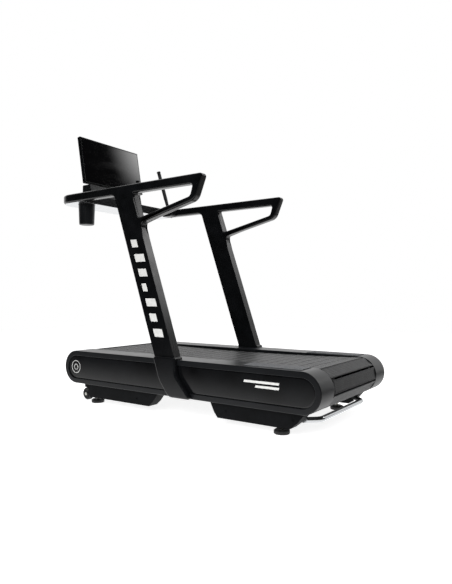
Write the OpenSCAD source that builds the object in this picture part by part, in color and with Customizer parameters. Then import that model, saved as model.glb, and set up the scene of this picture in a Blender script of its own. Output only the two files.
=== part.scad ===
// Curved manual treadmill with a magnetic brake, a console and two hand rails.
// X runs along the deck, from the console (-X) to the walk-on end (+X).
// Y runs across it, from the user's left (-Y) to the user's right (+Y).
// Z is up and the floor is at Z = 0. The origin is under the middle of the
// whole machine. One-sided parts are drawn for the right side and mirrored.

/* [Deck] */
// Length of the side units over their rounded ends
deck_l = 1780; // [1740:10:1800]
// Width over the outer faces of the side units
deck_w = 870; // [866:1:880]
// Height of the side units
deck_h = 202; // [200:1:206]
// Height of the side units' centre line above the floor
deck_z = 227; // [224:1:230]
// Width of the running surface
belt_w = 566; // [556:2:568]
// How far the running surface dips in the middle
belt_dip = 12; // [8:1:20]
// Number of slats round the belt
slat_count = 54; // [52:1:56]
// Gap between two slats on the flat
slat_gap = 3; // [1:0.5:4]

/* [Drums] */
// Radius of the belt pulleys
pulley_r = 82.7; // [80:0.1:82.7]
// Diameter of the two drum axles
axle_d = 25; // [20:1:30]
// Radius of the eddy-current brake disc
disc_r = 80; // [70:1:82]

/* [Uprights and hand rails] */
// Width of an upright, measured along the deck
upright_w = 142; // [130:1:146]
// Thickness of the uprights and hand rails, across the deck
rail_t = 56; // [50:1:60]
// Lean of the uprights towards the console, in degrees
lean = 19.2; // [18:0.1:20]
// Height of the top of the hand rails
rail_top = 1321; // [1300:1:1340]
// Depth of the hand rails
rail_h = 52; // [46:1:56]

/* [Console] */
// Width of the display
display_w = 545; // [500:5:560]
// Height of the display
display_h = 322; // [300:2:330]
// Lean of the display at rest, in degrees
display_lean = 10.2; // [8:0.1:12]
// Inner diameter of the bottle cup at its mouth
cup_d = 102; // [90:1:104]
// Length of the resistance lever above its pivot
lever_l = 340; // [300:5:360]
// Forward lean of the lever at rest, in degrees
lever_lean = 18.6; // [15:0.1:20]

/* [Feet and wheels] */
// Diameter of the levelling pads
pad_d = 80; // [70:1:84]
// Thickness of the levelling pads
pad_h = 24; // [20:1:26]
// Radius of the transport wheels
wheel_r = 38; // [34:1:38]
// Height of a transport wheel above the floor
wheel_gap = 15; // [10:1:18]

/* [Hidden] */
$fn = 64;

// The deck sits a little behind the middle of the machine
deck_x = 43;
// Small overcut and running clearance
eps = 1;
fit = 0.05;
left = -1;
right = 1;

// Side units
deck_r = deck_h / 2;
drum_x = deck_l / 2 - deck_r;
side_out = deck_w / 2;
side_in = belt_w / 2 + 5;
skin = 4;
rim_w = 30;
rim_t = 8;
panel_t = 4;
panel_lap = 7;
deck_top = deck_z + deck_r;
deck_low = deck_z - deck_r;

// Side rails: rectangular tube just outside the running surface
tube_in = 300;
tube_w = 50;
tube_h = 120;
tube_wall = 4;
tube_l = 2 * (drum_x + 60);
tube_out = tube_in + tube_w;
tube_low = deck_z - tube_h / 2;

// Running belt: two rubber carrying belts with slats bolted on
belt_t = 5;
plate_t = 8;
belt_gap = 0.8;
belt_in_r = pulley_r + belt_gap;
plate_r = belt_in_r + belt_t;
belt_y = 225;
belt_strip = 40;
rib_y = 221;
rib_h = 17;
rib_t = 4;
// The running surface is an arc, tangent to both drums from outside
arc_sum = (pow(drum_x, 2) + pow(belt_dip, 2)) / (2 * belt_dip);
arc_h = arc_sum - belt_dip;
arc_a = asin(drum_x / arc_sum);
drum_arc = (180 + arc_a) * PI / 180 * plate_r;
top_arc = 2 * arc_a * PI / 180 * (arc_sum - plate_r);
belt_loop = 2 * drum_arc + top_arc + 2 * drum_x;
pitch = belt_loop / slat_count;
slat_phase = 0.23;

// Uprights, along the lean
upright_foot_z = 150;
upright_x = -36.5;
upright_plug_z = 240;
toe_x = -8;
toe_z = 236;
heel_x = 39;
heel_z = 400;
upright_ref_z = 345;
rail_out = 448;
rail_in = rail_out - rail_t;
rail_low = rail_top - rail_h;
upright_wall = 4;
boot_out = 462;
boot_top = 343;
boot_gap = 0.4;

// Console
loop_front = -970;
loop_join = -700;
loop_bend = 92;
tray_rear = -742;
tray_front = loop_front + rail_t;
tray_wall = 4;
belly_t = 3;
plate_z = rail_low - belly_t;
cup_x = -810;
cup_y = -330;
cup_low = 1134;
cup_wall = 3;
cup_taper = 12;
housing_top = 1426;
screen_x = -893;
screen_z = 1435;
screen_t = 26;
glass_t = 3;
bezel = 8;
hinge_back = 46;
hinge_up = 40;
pin_d = 10;
lever_x = -703.5;
lever_y = 360;
lever_z = 1290;

// Feet, wheels and legs
leg_in = 330;
leg_out = 400;
leg_low = 43;
leg_wall = 4;
foot_y = 338;
foot_xs = [-690, 635];
leg_bolt_xs = [-620, -200, 330, 700];
leg_bolt_y = 317;
stud_d = 12;
wheel_x = -752;
wheel_y = 350;
wheel_w = 26;
wheel_z = wheel_r + wheel_gap;
wheel_bolt_d = 10;

// Brake
disc_y = 386;
disc_t = 8;
yoke_x = -676;
yoke_z = 182;

/* ---------- shared shapes ---------- */

// Places a right-hand part on one side of the machine
module on_side(side) {
    if (side == right) children();
    else mirror([0, 1, 0]) children();
}

// Moves a part from the deck's own centre to the machine's
module on_deck() translate([deck_x, 0, 0]) children();

// Extrudes an X-Z outline across the deck from y0 to y1
module across(y0, y1) {
    translate([0, y1, 0]) rotate([90, 0, 0]) linear_extrude(y1 - y0) children();
}

// A bar along Y from y0 to y1, centred on [x, z]
module bar_y(x, z, y0, y1, d) {
    translate([x, y1, z]) rotate([90, 0, 0]) cylinder(d = d, h = y1 - y0);
}

// Unit vector from a to b
function unit(a, b) = (b - a) / norm(b - a);

// One corner of an outline, rounded to radius r with n steps
function corner(a, p, b, r, n) =
    let (u = unit(p, a), v = unit(p, b), half = acos(u * v) / 2,
         t = r / tan(half), c = p + unit([0, 0], u + v) * r / sin(half),
         s = p + u * t, e = p + v * t,
         a0 = atan2(s[1] - c[1], s[0] - c[0]), a1 = atan2(e[1] - c[1], e[0] - c[0]),
         turn = a1 - a0 > 180 ? a1 - a0 - 360 : a1 - a0 < -180 ? a1 - a0 + 360 : a1 - a0)
    r == 0 ? [p] : [for (i = [0:n]) c + r * [cos(a0 + turn * i / n), sin(a0 + turn * i / n)]];

// Outline through [x, z, radius] points, each corner rounded to its radius
function rounded(pts, n = 8) =
    let (k = len(pts))
    [for (i = [0:k - 1])
        let (a = pts[(i + k - 1) % k], p = pts[i], b = pts[(i + 1) % k])
        each corner([a[0], a[1]], [p[0], p[1]], [b[0], b[1]], p[2], n)];

// A tube with its axis along Y
module ring_y(x, z, y0, y1, d_out, d_in) {
    difference() {
        bar_y(x, z, y0, y1, d_out);
        bar_y(x, z, y0 - eps, y1 + eps, d_in);
    }
}

// The side units' outline: a bar with round ends
module stadium(r) {
    translate([-drum_x, deck_z - r]) square([2 * drum_x, 2 * r]);
    for (x = [-drum_x, drum_x]) translate([x, deck_z]) circle(r, $fn = 128);
}

// Front edge of an upright at height z
function upright_front(z) = upright_x - upright_w / 2 - tan(lean) * (z - upright_ref_z);

// X-Z outline of an upright between two heights, grown by g
module upright_outline(z0, z1, g = 0) {
    polygon([[upright_front(z0) - g, z0], [upright_front(z0) + upright_w + g, z0],
             [upright_front(z1) + upright_w + g, z1], [upright_front(z1) - g, z1]]);
}

// The whole upright: inside its boot the foot is cut back, front and rear
module upright_shape(z0, z1, g = 0) difference() {
    upright_outline(z0, z1, g);
    polygon([[upright_front(toe_z) - g - 1, toe_z], [toe_x - g, upright_foot_z],
             [toe_x - g, 0], [-deck_w, 0], [-deck_w, toe_z]]);
    translate([heel_x + g, 0]) square([deck_w, heel_z]);
}

// Straight rod between two points, run on a little at both ends
module rod(a, b, d) {
    v = b - a;
    translate(a) rotate([0, acos(v[2] / norm(v)), atan2(v[1], v[0])])
        translate([0, 0, -d / 3]) cylinder(d = d, h = norm(v) + d / 1.5, $fn = 12);
}

/* ---------- path of the running belt ---------- */

// Point and heading at distance s round the belt, at height h above the slats' inner face
function belt_at(s, h = 0) =
    s < drum_arc ? drum_at(drum_x, -90, s, h)
    : s < drum_arc + top_arc ? run_at(s - drum_arc, h)
    : s < 2 * drum_arc + top_arc ? drum_at(-drum_x, 90 - arc_a, s - drum_arc - top_arc, h)
    : [-drum_x + (s - 2 * drum_arc - top_arc), deck_z - plate_r - h, 0];

// On a drum: turns anticlockwise from angle a0
function drum_at(x, a0, s, h) =
    let (a = a0 + s / plate_r * 180 / PI)
    [x + (plate_r + h) * cos(a), deck_z + (plate_r + h) * sin(a), a + 90];

// On the running surface: a shallow arc whose centre lies above the deck
function run_at(s, h) =
    let (a = arc_a - s / (arc_sum - plate_r) * 180 / PI)
    [(arc_sum - plate_r - h) * sin(a), deck_z + arc_h - (arc_sum - plate_r - h) * cos(a), a + 180];

// Closed outline of the belt path at height h, with steps that follow its curves
function belt_outline(h) = [
    for (i = [0:15]) let (p = belt_at(i * drum_arc / 16, h)) [p[0], p[1]],
    for (i = [0:15]) let (p = belt_at(drum_arc + i * top_arc / 16, h)) [p[0], p[1]],
    for (i = [0:16]) let (p = belt_at(drum_arc + top_arc + i * drum_arc / 16.001, h)) [p[0], p[1]]
];

/* ---------- frame ---------- */

module side_rail(side) color("dimgray") on_deck() on_side(side) difference() {
    translate([-tube_l / 2, tube_in, tube_low]) cube([tube_l, tube_w, tube_h]);
    translate([-tube_l / 2 - eps, tube_in + tube_wall, tube_low + tube_wall])
        cube([tube_l + 2 * eps, tube_w - 2 * tube_wall, tube_h - 2 * tube_wall]);
    for (x = [-drum_x, drum_x]) bar_y(x, deck_z, tube_in - eps, tube_in + tube_wall + eps, 62);
    bar_y(-drum_x, deck_z, tube_out - tube_wall - eps, tube_out + eps, 34);
    for (x = [-42, 78], z = [195, 255]) bar_y(x, z, tube_out - tube_wall - eps, tube_out + eps, 12);
    for (x = leg_bolt_xs) translate([x, leg_bolt_y, tube_low - eps])
        cylinder(d = 10, h = tube_wall + 2 * eps);
}

module left_side_rail() side_rail(left);
module right_side_rail() side_rail(right);

module cross_members() color("dimgray") on_deck() for (x = [-520, -20, 480]) difference() {
    translate([x, -tube_in, 172]) cube([40, 2 * tube_in, 40]);
    translate([x + 3, -tube_in - eps, 175]) cube([34, 2 * tube_in + 2 * eps, 34]);
}

/* ---------- side units ---------- */

module shroud(side) color("#26272a") on_deck() on_side(side) difference() {
    across(side_in, side_out) stadium(deck_r);
    across(side_in + skin, side_out - rim_t) stadium(deck_r - skin);
    across(side_out - rim_t - eps, side_out + eps) stadium(deck_r - rim_w);
    across(side_in - eps, side_in + skin + eps) stadium(deck_r - 15);
    translate([-drum_x + 20, side_in + 8, deck_low - eps])
        cube([2 * drum_x - 18, side_out - side_in - 28, skin + 2 * eps]);
    across(rail_in - eps, side_out + eps) upright_shape(upright_foot_z - eps, deck_top + 5, eps);
}

module left_shroud() shroud(left);
module right_shroud() shroud(right);

module side_panel(side) color("#101114") on_deck() on_side(side) difference() {
    across(side_out - rim_t - panel_t, side_out - rim_t) stadium(deck_r - rim_w + panel_lap);
    across(rail_in - eps, side_out + eps) upright_shape(upright_foot_z - eps, deck_top + 5, eps);
}

module left_side_panel() side_panel(left);
module right_side_panel() side_panel(right);

// Ribbed pads on the foot rails, ahead of the walk-on end
grip_x = 455;
grip_l = 320;
grip_y = 300;
grip_w = 110;
module foot_grips() color("#55585c") on_deck() for (side = [left, right]) on_side(side)
    difference() {
        translate([grip_x, grip_y, deck_top]) cube([grip_l, grip_w, 3]);
        for (i = [1:8]) translate([grip_x - eps, grip_y + i * grip_w / 9 - 2, deck_top + 1.5])
            cube([grip_l + 2 * eps, 4, 3]);
    }

module boot(side) color("#141518") on_deck() on_side(side) difference() {
    across(rail_in + boot_gap, boot_out) polygon(rounded([
        [-112, boot_top, 13], [-68, 215, 150], [0, deck_low, 50],
        [160, deck_low, 12], [52, 250, 60], [46, boot_top, 13]]));
    translate([-200, rail_in - 20, deck_low - eps]) cube([500, side_out - rail_in + 20, deck_h + eps]);
    across(rail_in - boot_gap, rail_out + boot_gap)
        upright_shape(upright_foot_z - boot_gap, boot_top + 50, boot_gap);
}

module left_boot() boot(left);
module right_boot() boot(right);

/* ---------- uprights and hand rails ---------- */

// Height where an upright meets its hand rail
seam_z = 1060;

module upright(side) color("#17181a") on_deck() on_side(side) difference() {
    union() {
        across(rail_in, rail_out) upright_shape(upright_foot_z, seam_z);
        translate([-22, tube_out + plate_t - eps, 180])
            cube([60, rail_in - tube_out - plate_t + 2 * eps, 90]);
        translate([-62, tube_out, 175]) cube([160, plate_t, 100]);
    }
    across(rail_in + upright_wall, rail_out - upright_wall)
        upright_shape(upright_plug_z, seam_z + eps, -upright_wall * 1.2);
    for (x = [-42, 78], z = [195, 255]) bar_y(x, z, tube_out - eps, tube_out + plate_t + eps, 12);
    bar_y(-10, 305, rail_in - eps, rail_in + upright_wall + eps, 8);
}

module left_upright() upright(left);
module right_upright() upright(right);

// Hex bolts that hold the uprights' foot plates to the side rails
module upright_bolts() color("silver") on_deck() for (side = [left, right]) on_side(side)
    for (x = [-42, 78], z = [195, 255]) {
        bar_y(x, z, tube_out - 20, tube_out + 8, 12);
        translate([x, tube_out + 16, z]) rotate([90, 0, 0]) cylinder(d = 21, h = 8, $fn = 6);
    }

// Heights and places of the hand rail's bends
rear_end_x = 226;
window_top = rail_low;
module handrail(side) color("#17181a") on_deck() on_side(side) difference() {
    across(rail_in, rail_out) difference() {
        polygon(rounded([
            [loop_join, rail_top, 0], [rear_end_x, rail_top, 16], [170, 1183, 60],
            [upright_front(1089) + upright_w, 1089, 30],
            [upright_front(seam_z) + upright_w, seam_z, 0], [upright_front(seam_z), seam_z, 0],
            [upright_front(rail_low), rail_low, 55], [loop_join, rail_low, 0]]));
        polygon(rounded([
            [upright_front(window_top) + upright_w + 2, window_top, 8], [158, window_top, 14],
            [139, 1206, 26], [upright_front(1120) + upright_w, 1120, 12]]));
    }
    // Way for the brake cable, along the rail and down the upright
    translate([loop_join - eps, rail_in + 8, rail_low + 8])
        cube([-loop_join + upright_front(rail_low) + 60, rail_t - 16, rail_h - 16]);
    across(rail_in + 8, rail_out - 8) polygon([
        [upright_front(seam_z - eps) + 12, seam_z - eps],
        [upright_front(seam_z - eps) + 90, seam_z - eps],
        [upright_front(rail_low + 20) + 80, rail_low + 20],
        [upright_front(rail_low + 20) + 12, rail_low + 20]]);
    bar_y(-685, 1295, rail_in - eps, rail_in + 8 + eps, 8);
}

module left_handrail() handrail(left);
module right_handrail() handrail(right);

/* ---------- console ---------- */

// The front loop's bar, t wide and h deep, along the loop's own centre line
module loop_bar(t, h) {
    loop_y = rail_out - rail_t / 2;
    front_x = loop_front + rail_t / 2;
    low = rail_top - rail_h / 2 - h / 2;
    for (side = [left, right]) on_side(side) {
        translate([front_x + loop_bend, loop_y - t / 2, low])
            cube([loop_join - front_x - loop_bend, t, h]);
        translate([front_x + loop_bend, loop_y - loop_bend, low])
            rotate([0, 0, 90]) rotate_extrude(angle = 90, $fn = 96)
            translate([loop_bend - t / 2, 0]) square([t, h]);
    }
    translate([front_x - t / 2, -loop_y + loop_bend, low]) cube([t, 2 * (loop_y - loop_bend), h]);
}

// Front loop that joins the two hand rails, a hollow casting closed at its ends
module console_loop() color("#17181a") on_deck() difference() {
    loop_bar(rail_t, rail_h);
    intersection() {
        loop_bar(rail_t - 8, rail_h - 8);
        translate([loop_front, -deck_w, 0]) cube([loop_join - loop_front - 4, 2 * deck_w, 2 * rail_top]);
    }
}

// Plan of the console tray, inside the loop, inset by g
module tray_plan(g) polygon(rounded([
    [tray_rear - g, -rail_in + g, 0], [tray_rear - g, rail_in - g, 0],
    [tray_front + g, rail_in - g, 72 - g], [tray_front + g, -rail_in + g, 72 - g]]));

store_x = -856;
store_w = 96;
store_y = 190;
store_d = 24;
module console_tray() color("#121316") on_deck() difference() {
    union() {
        difference() {
            translate([0, 0, rail_low]) linear_extrude(rail_h) tray_plan(0);
            translate([0, 0, rail_low - eps]) linear_extrude(rail_h + eps - tray_wall) tray_plan(tray_wall);
        }
        translate([store_x - 3, -store_y - 3, rail_top - store_d - 3])
            cube([store_w + 6, 2 * store_y + 6, store_d]);
    }
    translate([store_x, -store_y, rail_top - store_d]) cube([store_w, 2 * store_y, store_d + eps]);
    translate([cup_x, cup_y, rail_top - 10]) cylinder(d = cup_d + 2 * cup_wall, h = 20);
    bar_along_x(tray_rear - 10, tray_rear + eps, lever_y, 1284, 7);
}

// A bar along X, centred on [y, z]
module bar_along_x(x0, x1, y, z, d) translate([x0, y, z]) rotate([0, 90, 0]) cylinder(d = d, h = x1 - x0);

// Bright plate under the tray and the front loop
module belly_plate() color("#d9dbdd") on_deck() difference() {
    translate([0, 0, plate_z]) linear_extrude(belly_t) polygon(rounded([
        [tray_rear, -438, 0], [tray_rear, 438, 0], [-960, 438, 110], [-960, -438, 110]]));
    translate([cup_x, cup_y, plate_z - eps]) cylinder(d = cup_d + 2 * cup_wall, h = belly_t + 2 * eps);
}

module bottle_cup() color("#121316") on_deck() translate([cup_x, cup_y, cup_low]) difference() {
    union() {
        cylinder(d1 = cup_d + 2 * cup_wall - cup_taper, d2 = cup_d + 2 * cup_wall, h = rail_top - cup_low);
        translate([0, 0, rail_top - cup_low]) cylinder(d = cup_d + 14, h = 3);
    }
    translate([0, 0, 4]) cylinder(d1 = cup_d - cup_taper, d2 = cup_d, h = rail_top - cup_low);
}

module console_housing() color("#121316") on_deck() difference() {
    across(-240, 240) polygon(rounded([
        [-962, rail_top, 0], [-864, rail_top, 0], [-886, housing_top, 8], [-960, housing_top, 8]]));
    across(-237, 237) polygon([
        [-959, rail_top - eps], [-867, rail_top - eps],
        [-888, housing_top - 3], [-957, housing_top - 3]]);
}

// Centre of the display's hinge
hinge_x = screen_x - hinge_back * cos(display_lean) - hinge_up * sin(display_lean);
hinge_z = screen_z - hinge_back * sin(display_lean) + hinge_up * cos(display_lean);

module hinge_ears() color("#202124") on_deck() for (side = [left, right]) on_side(side) difference() {
    across(81, 89) union() {
        translate([hinge_x, hinge_z]) circle(d = 26);
        translate([hinge_x - 13, housing_top]) square([26, hinge_z - housing_top]);
    }
    bar_y(hinge_x, hinge_z, 80, 90, pin_d);
}

module hinge_pin() color("silver") on_deck() bar_y(hinge_x, hinge_z, -95, 95, pin_d);

// Places a part in the display's own frame: X out of the glass, Z up it
module on_display() on_deck() translate([screen_x, 0, screen_z]) rotate([0, -display_lean, 0]) children();

module display_case() color("#0d0e10") on_display() difference() {
    union() {
        translate([-screen_t, -display_w / 2, 0]) cube([screen_t, display_w, display_h]);
        for (side = [left, right]) on_side(side) across(60, 80) union() {
            translate([-hinge_back, hinge_up]) circle(d = 24);
            translate([-hinge_back, hinge_up - 12]) square([hinge_back - screen_t + eps, 24]);
        }
    }
    translate([-glass_t, -display_w / 2 + bezel, bezel])
        cube([glass_t + eps, display_w - 2 * bezel, display_h - 2 * bezel]);
    bar_y(-hinge_back, hinge_up, -90, 90, pin_d + 2 * fit);
}

module display_glass() color("#3a3c40") on_display() translate([-glass_t, -display_w / 2 + bezel, bezel])
    cube([glass_t, display_w - 2 * bezel, display_h - 2 * bezel]);

// Slotted housing of the resistance lever, behind the right end of the tray
module lever_housing() color("#121316") on_deck() difference() {
    across(lever_y - 30, rail_in - 0.2) polygon(rounded([
        [tray_rear, rail_low - 6, 0], [-660, rail_low - 6, 14],
        [-660, 1335, 14], [tray_rear, 1335, 6]]));
    across(lever_y - 14, lever_y + 14) polygon([[-737, 1272], [-666, 1272], [-666, 1340], [-737, 1340]]);
    bar_y(lever_x, lever_z, lever_y - 24, lever_y + 24, 8);
    bar_y(-685, 1295, lever_y + 10, rail_in, 8);
}

// Places a part in the lever's own frame: Z along the lever from its pivot
module on_lever() on_deck() translate([lever_x, lever_y, lever_z]) rotate([0, -lever_lean, 0]) children();

module lever_shaft() color("silver") on_lever() {
    cylinder(d = 14, h = lever_l - 8);
    rotate([90, 0, 0]) translate([0, 0, -12]) cylinder(d = 16, h = 24);
    rotate([90, 0, 0]) translate([0, 0, -24 + fit]) cylinder(d = 8 - 2 * fit, h = 48 - 2 * fit);
}

module lever_grip() color("#1b1c1f") on_lever() difference() {
    union() {
        translate([0, 0, 62]) cylinder(d1 = 22, d2 = 27, h = 60);
        translate([0, 0, 122]) cylinder(d = 27, h = lever_l - 122 - 8);
        translate([0, 0, lever_l - 8]) cylinder(d = 30, h = 8);
    }
    translate([0, 0, 60]) cylinder(d = 14, h = lever_l - 68);
}

/* ---------- running belt ---------- */

// One slat, drawn lying on the belt path with its outer face up
module slat(width) {
    half = width / 2;
    across(-belt_w / 2, belt_w / 2) polygon([
        [-half, 0], [half, 0], [half, plate_t - 3], [half - 3, plate_t - 0.6], [half - 16, plate_t],
        [16 - half, plate_t], [3 - half, plate_t - 0.6], [-half, plate_t - 3]]);
    for (x = [-half / 2, half / 2])
        translate([x - rib_t / 2, -rib_y, -rib_h]) cube([rib_t, 2 * rib_y, rib_h + eps]);
}

module belt_slats() color("#1c1d1f") on_deck() for (i = [0:slat_count - 1]) {
    p = belt_at((i + slat_phase) * pitch);
    translate([p[0], 0, p[1]]) rotate([0, 180 - p[2], 0]) slat(pitch - slat_gap);
}

// Rubber carrying belt under the slats
module carrying_belt(side) color("#0c0c0c") on_deck() on_side(side)
    across(belt_y, belt_y + belt_strip) difference() {
        polygon(belt_outline(-0.6));
        polygon(belt_outline(-belt_t));
    }

module left_belt() carrying_belt(left);
module right_belt() carrying_belt(right);

// Guide rollers under the slats' ends
roller_count = 19;
roller_d = 36;
roller_y = 268;
roller_w = 13;
roller_depth = roller_d / 2 + 0.3;
track_low = 212;
function roller_at(i) = run_at((i + 0.5) * top_arc / roller_count, -roller_depth);

module guide_rollers() color("#c9cbcd") on_deck() for (side = [left, right]) on_side(side)
    for (i = [1:roller_count - 2]) {
        p = roller_at(i);
        ring_y(p[0], p[1], roller_y, roller_y + roller_w, roller_d, 8);
    }

module track_rails() color("#8b8e92") on_deck() for (side = [left, right]) on_side(side) {
    ends = [for (i = [1:roller_count - 2]) roller_at(i)];
    across(284.5, 290) polygon(concat(
        [[ends[len(ends) - 1][0] - 20, track_low], [ends[0][0] + 20, track_low]],
        [[ends[0][0] + 20, ends[0][1] + 14]],
        [for (p = ends) [p[0], p[1] + 12]],
        [[ends[len(ends) - 1][0] - 20, ends[len(ends) - 1][1] + 14]]));
    translate([-680, 284.5, track_low]) cube([1360, tube_in - 284.5, 6]);
    for (p = ends) bar_y(p[0], p[1], roller_y - 2, 285, 8);
}

/* ---------- drums and brake ---------- */

module drum_bearings(x) color("#b5b7ba") on_deck() for (side = [left, right]) on_side(side) difference() {
    union() {
        bar_y(x, deck_z, tube_in - 4, tube_in, 90);
        bar_y(x, deck_z, tube_in - eps, tube_in + 26, 62);
    }
    bar_y(x, deck_z, tube_in - 5, tube_in + 27, axle_d + 2 * fit);
}

module front_bearings() drum_bearings(-drum_x);
module rear_bearings() drum_bearings(drum_x);

module front_axle() color("silver") on_deck() bar_y(-drum_x, deck_z, -322, 400, axle_d);
module rear_axle() color("silver") on_deck() bar_y(drum_x, deck_z, -322, 322, axle_d);

module pulleys(x) color("#9a9da1") on_deck() for (side = [left, right]) on_side(side) {
    mid = belt_y + belt_strip / 2;
    ring_y(x, deck_z, belt_y, belt_y + belt_strip, 2 * pulley_r, 2 * pulley_r - 14);
    ring_y(x, deck_z, mid - 4, mid + 4, 2 * pulley_r - 12, 46);
    ring_y(x, deck_z, mid - 25, mid + 25, 48, axle_d);
}

module front_pulleys() pulleys(-drum_x);
module rear_pulleys() pulleys(drum_x);

module brake_disc() color("#d0d2d4") on_deck() {
    ring_y(-drum_x, deck_z, disc_y, disc_y + disc_t, 2 * disc_r, 38);
    ring_y(-drum_x, deck_z, disc_y - 8, disc_y + disc_t + 6, 40, axle_d);
}

// Magnet carrier that straddles the disc's edge
module brake_yoke() color("#6d7074") on_deck() difference() {
    union() {
        for (y = [disc_y - 12, disc_y + disc_t + 8]) across(y, y + 4) polygon(rounded([
            [-692, 168, 8], [-660, 168, 8], [-662, 236, 6], [-690, 256, 6],
            [-726, 256, 6], [-726, 212, 6], [-696, 206, 4]]));
        for (y = [disc_y - 8 - eps, disc_y + disc_t + 2.5]) translate([-724, y, 214])
            cube([30, 5.5 + eps, 38]);
        translate([-672, disc_y - 12, 192]) cube([8, disc_t + 24, 38]);
    }
    bar_y(yoke_x, yoke_z, disc_y - 20, disc_y + disc_t + 20, pin_d + 2 * fit);
}

module brake_pin() color("silver") on_deck() bar_y(yoke_x, yoke_z, tube_out, disc_y + disc_t + 16, pin_d);

// Sheathed cable from the lever, through the right hand rail and upright, to the brake
cable_d = 6;
cable_pts = [
    [-685, 380, 1295], [-685, 420, 1295], [-424, 420, 1292], [-388, 420, 1262],
    [-32, 420, 330], [-10, 420, 305], [-10, 372, 305],
    [-40, 366, 308], [-600, 366, 308], [-640, 366, 295], [-648, 366, 270]
];
module brake_cable() color("#0c0c0c") on_deck() for (i = [0:len(cable_pts) - 2])
    rod(cable_pts[i], cable_pts[i + 1], cable_d);

/* ---------- legs, feet, wheels ---------- */

// Folded-steel leg: a closed box hung from the side rail by its top flange
module leg(side, outline, foot_x) color("#0f1012") on_deck() on_side(side) difference() {
    union() {
        difference() {
            across(leg_in, leg_out) polygon(outline);
            across(leg_in + leg_wall, leg_out - leg_wall) intersection() {
                translate([leg_wall, 0]) polygon(outline);
                translate([-leg_wall, 0]) polygon(outline);
                translate([-deck_l, leg_low + leg_wall])
                    square([2 * deck_l, tube_low - leg_low - 2 * leg_wall]);
            }
        }
        translate([outline[0][0], 305, tube_low - leg_wall])
            cube([outline[len(outline) - 1][0] - outline[0][0], 60, leg_wall]);
        translate([foot_x, foot_y, leg_low]) cylinder(d = 30, h = 16);
        if (foot_x < 0) across(leg_in, leg_in + 10) polygon([
            [-708, tube_low - 1], [-766, 110], [-770, 45], [-740, 40], [-690, 60]]);
    }
    translate([foot_x, foot_y, leg_low - eps]) cylinder(d = stud_d + 2 * fit, h = 60);
    for (x = leg_bolt_xs) translate([x, leg_bolt_y, 150]) cylinder(d = 10, h = 30);
    if (foot_x < 0) bar_y(-drum_x, deck_z, disc_y - 12, leg_out + eps, 2 * disc_r + 6);
    for (p = skin_bolts) bar_y(p[0], p[1], leg_out - 8, leg_out + eps, 6);
    if (foot_x < 0) bar_y(wheel_x, wheel_z, leg_in - eps, leg_in + 11, wheel_bolt_d);
}
skin_bolts = [[-294, 75], [339, 80], [724, 84]];

front_leg_outline = [[-742, tube_low], [-742, 102], [-708, 96], [-708, 62], [-696, leg_low],
    [-196, leg_low], [-165, 70], [-124, 122], [-124, tube_low]];
rear_leg_outline = [[242, tube_low], [242, 122], [268, 70], [290, leg_low],
    [710, leg_low], [750, 75], [781, 112], [785, tube_low]];

module front_left_leg() leg(left, front_leg_outline, foot_xs[0]);
module front_right_leg() leg(right, front_leg_outline, foot_xs[0]);
module rear_left_leg() leg(left, rear_leg_outline, foot_xs[1]);
module rear_right_leg() leg(right, rear_leg_outline, foot_xs[1]);

module leg_bolts() color("silver") on_deck() for (side = [left, right]) on_side(side) {
    for (x = leg_bolt_xs) {
        translate([x, leg_bolt_y, tube_low - leg_wall]) cylinder(d = 10, h = 16);
        translate([x, leg_bolt_y, tube_low - leg_wall - 6]) cylinder(d = 18, h = 6, $fn = 6);
    }
    for (p = skin_bolts) {
        bar_y(p[0], p[1], leg_out - 8, leg_out, 6);
        bar_y(p[0], p[1], leg_out, leg_out + 3, 13);
    }
}

// Levelling feet: a rubber pad on a threaded stud
module pad(side, x) color("#161616") on_deck() on_side(side) translate([x, foot_y, 0]) {
    cylinder(d = pad_d - 4, h = 3);
    translate([0, 0, 3]) cylinder(d = pad_d, h = pad_h - 9);
    translate([0, 0, pad_h - 6]) cylinder(d1 = pad_d, d2 = pad_d - 18, h = 6);
}

module stud(side, x) color("silver") on_deck() on_side(side) translate([x, foot_y, pad_h])
    cylinder(d = stud_d, h = 66);

module lock_nuts() color("silver") on_deck() for (side = [left, right], x = foot_xs) on_side(side)
    translate([x, foot_y, leg_low - 9]) difference() {
        cylinder(d = 21, h = 9, $fn = 6);
        translate([0, 0, -eps]) cylinder(d = stud_d + 2 * fit, h = 9 + 2 * eps);
    }

module front_left_pad() pad(left, foot_xs[0]);
module front_right_pad() pad(right, foot_xs[0]);
module rear_left_pad() pad(left, foot_xs[1]);
module rear_right_pad() pad(right, foot_xs[1]);
module front_left_stud() stud(left, foot_xs[0]);
module front_right_stud() stud(right, foot_xs[0]);
module rear_left_stud() stud(left, foot_xs[1]);
module rear_right_stud() stud(right, foot_xs[1]);

// Transport wheels: moulded tyre with a dished face
module wheel(side) color("#1a1a1a") on_deck() on_side(side) difference() {
    bar_y(wheel_x, wheel_z, wheel_y, wheel_y + wheel_w, 2 * wheel_r);
    ring_y(wheel_x, wheel_z, wheel_y + wheel_w - 3, wheel_y + wheel_w + eps, 2 * wheel_r - 12, 30);
    bar_y(wheel_x, wheel_z, wheel_y - eps, wheel_y + wheel_w + eps, wheel_bolt_d + 2 * fit);
}

module left_wheel() wheel(left);
module right_wheel() wheel(right);

// Shoulder bolts that the wheels turn on
module wheel_bolts() color("silver") on_deck() for (side = [left, right]) on_side(side) {
    bar_y(wheel_x, wheel_z, leg_in, wheel_y + wheel_w + 1, wheel_bolt_d);
    bar_y(wheel_x, wheel_z, wheel_y + wheel_w + 1, wheel_y + wheel_w + 9, 20);
    ring_y(wheel_x, wheel_z, leg_in + 10, wheel_y - 1, 18, wheel_bolt_d - 1);
}

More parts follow.
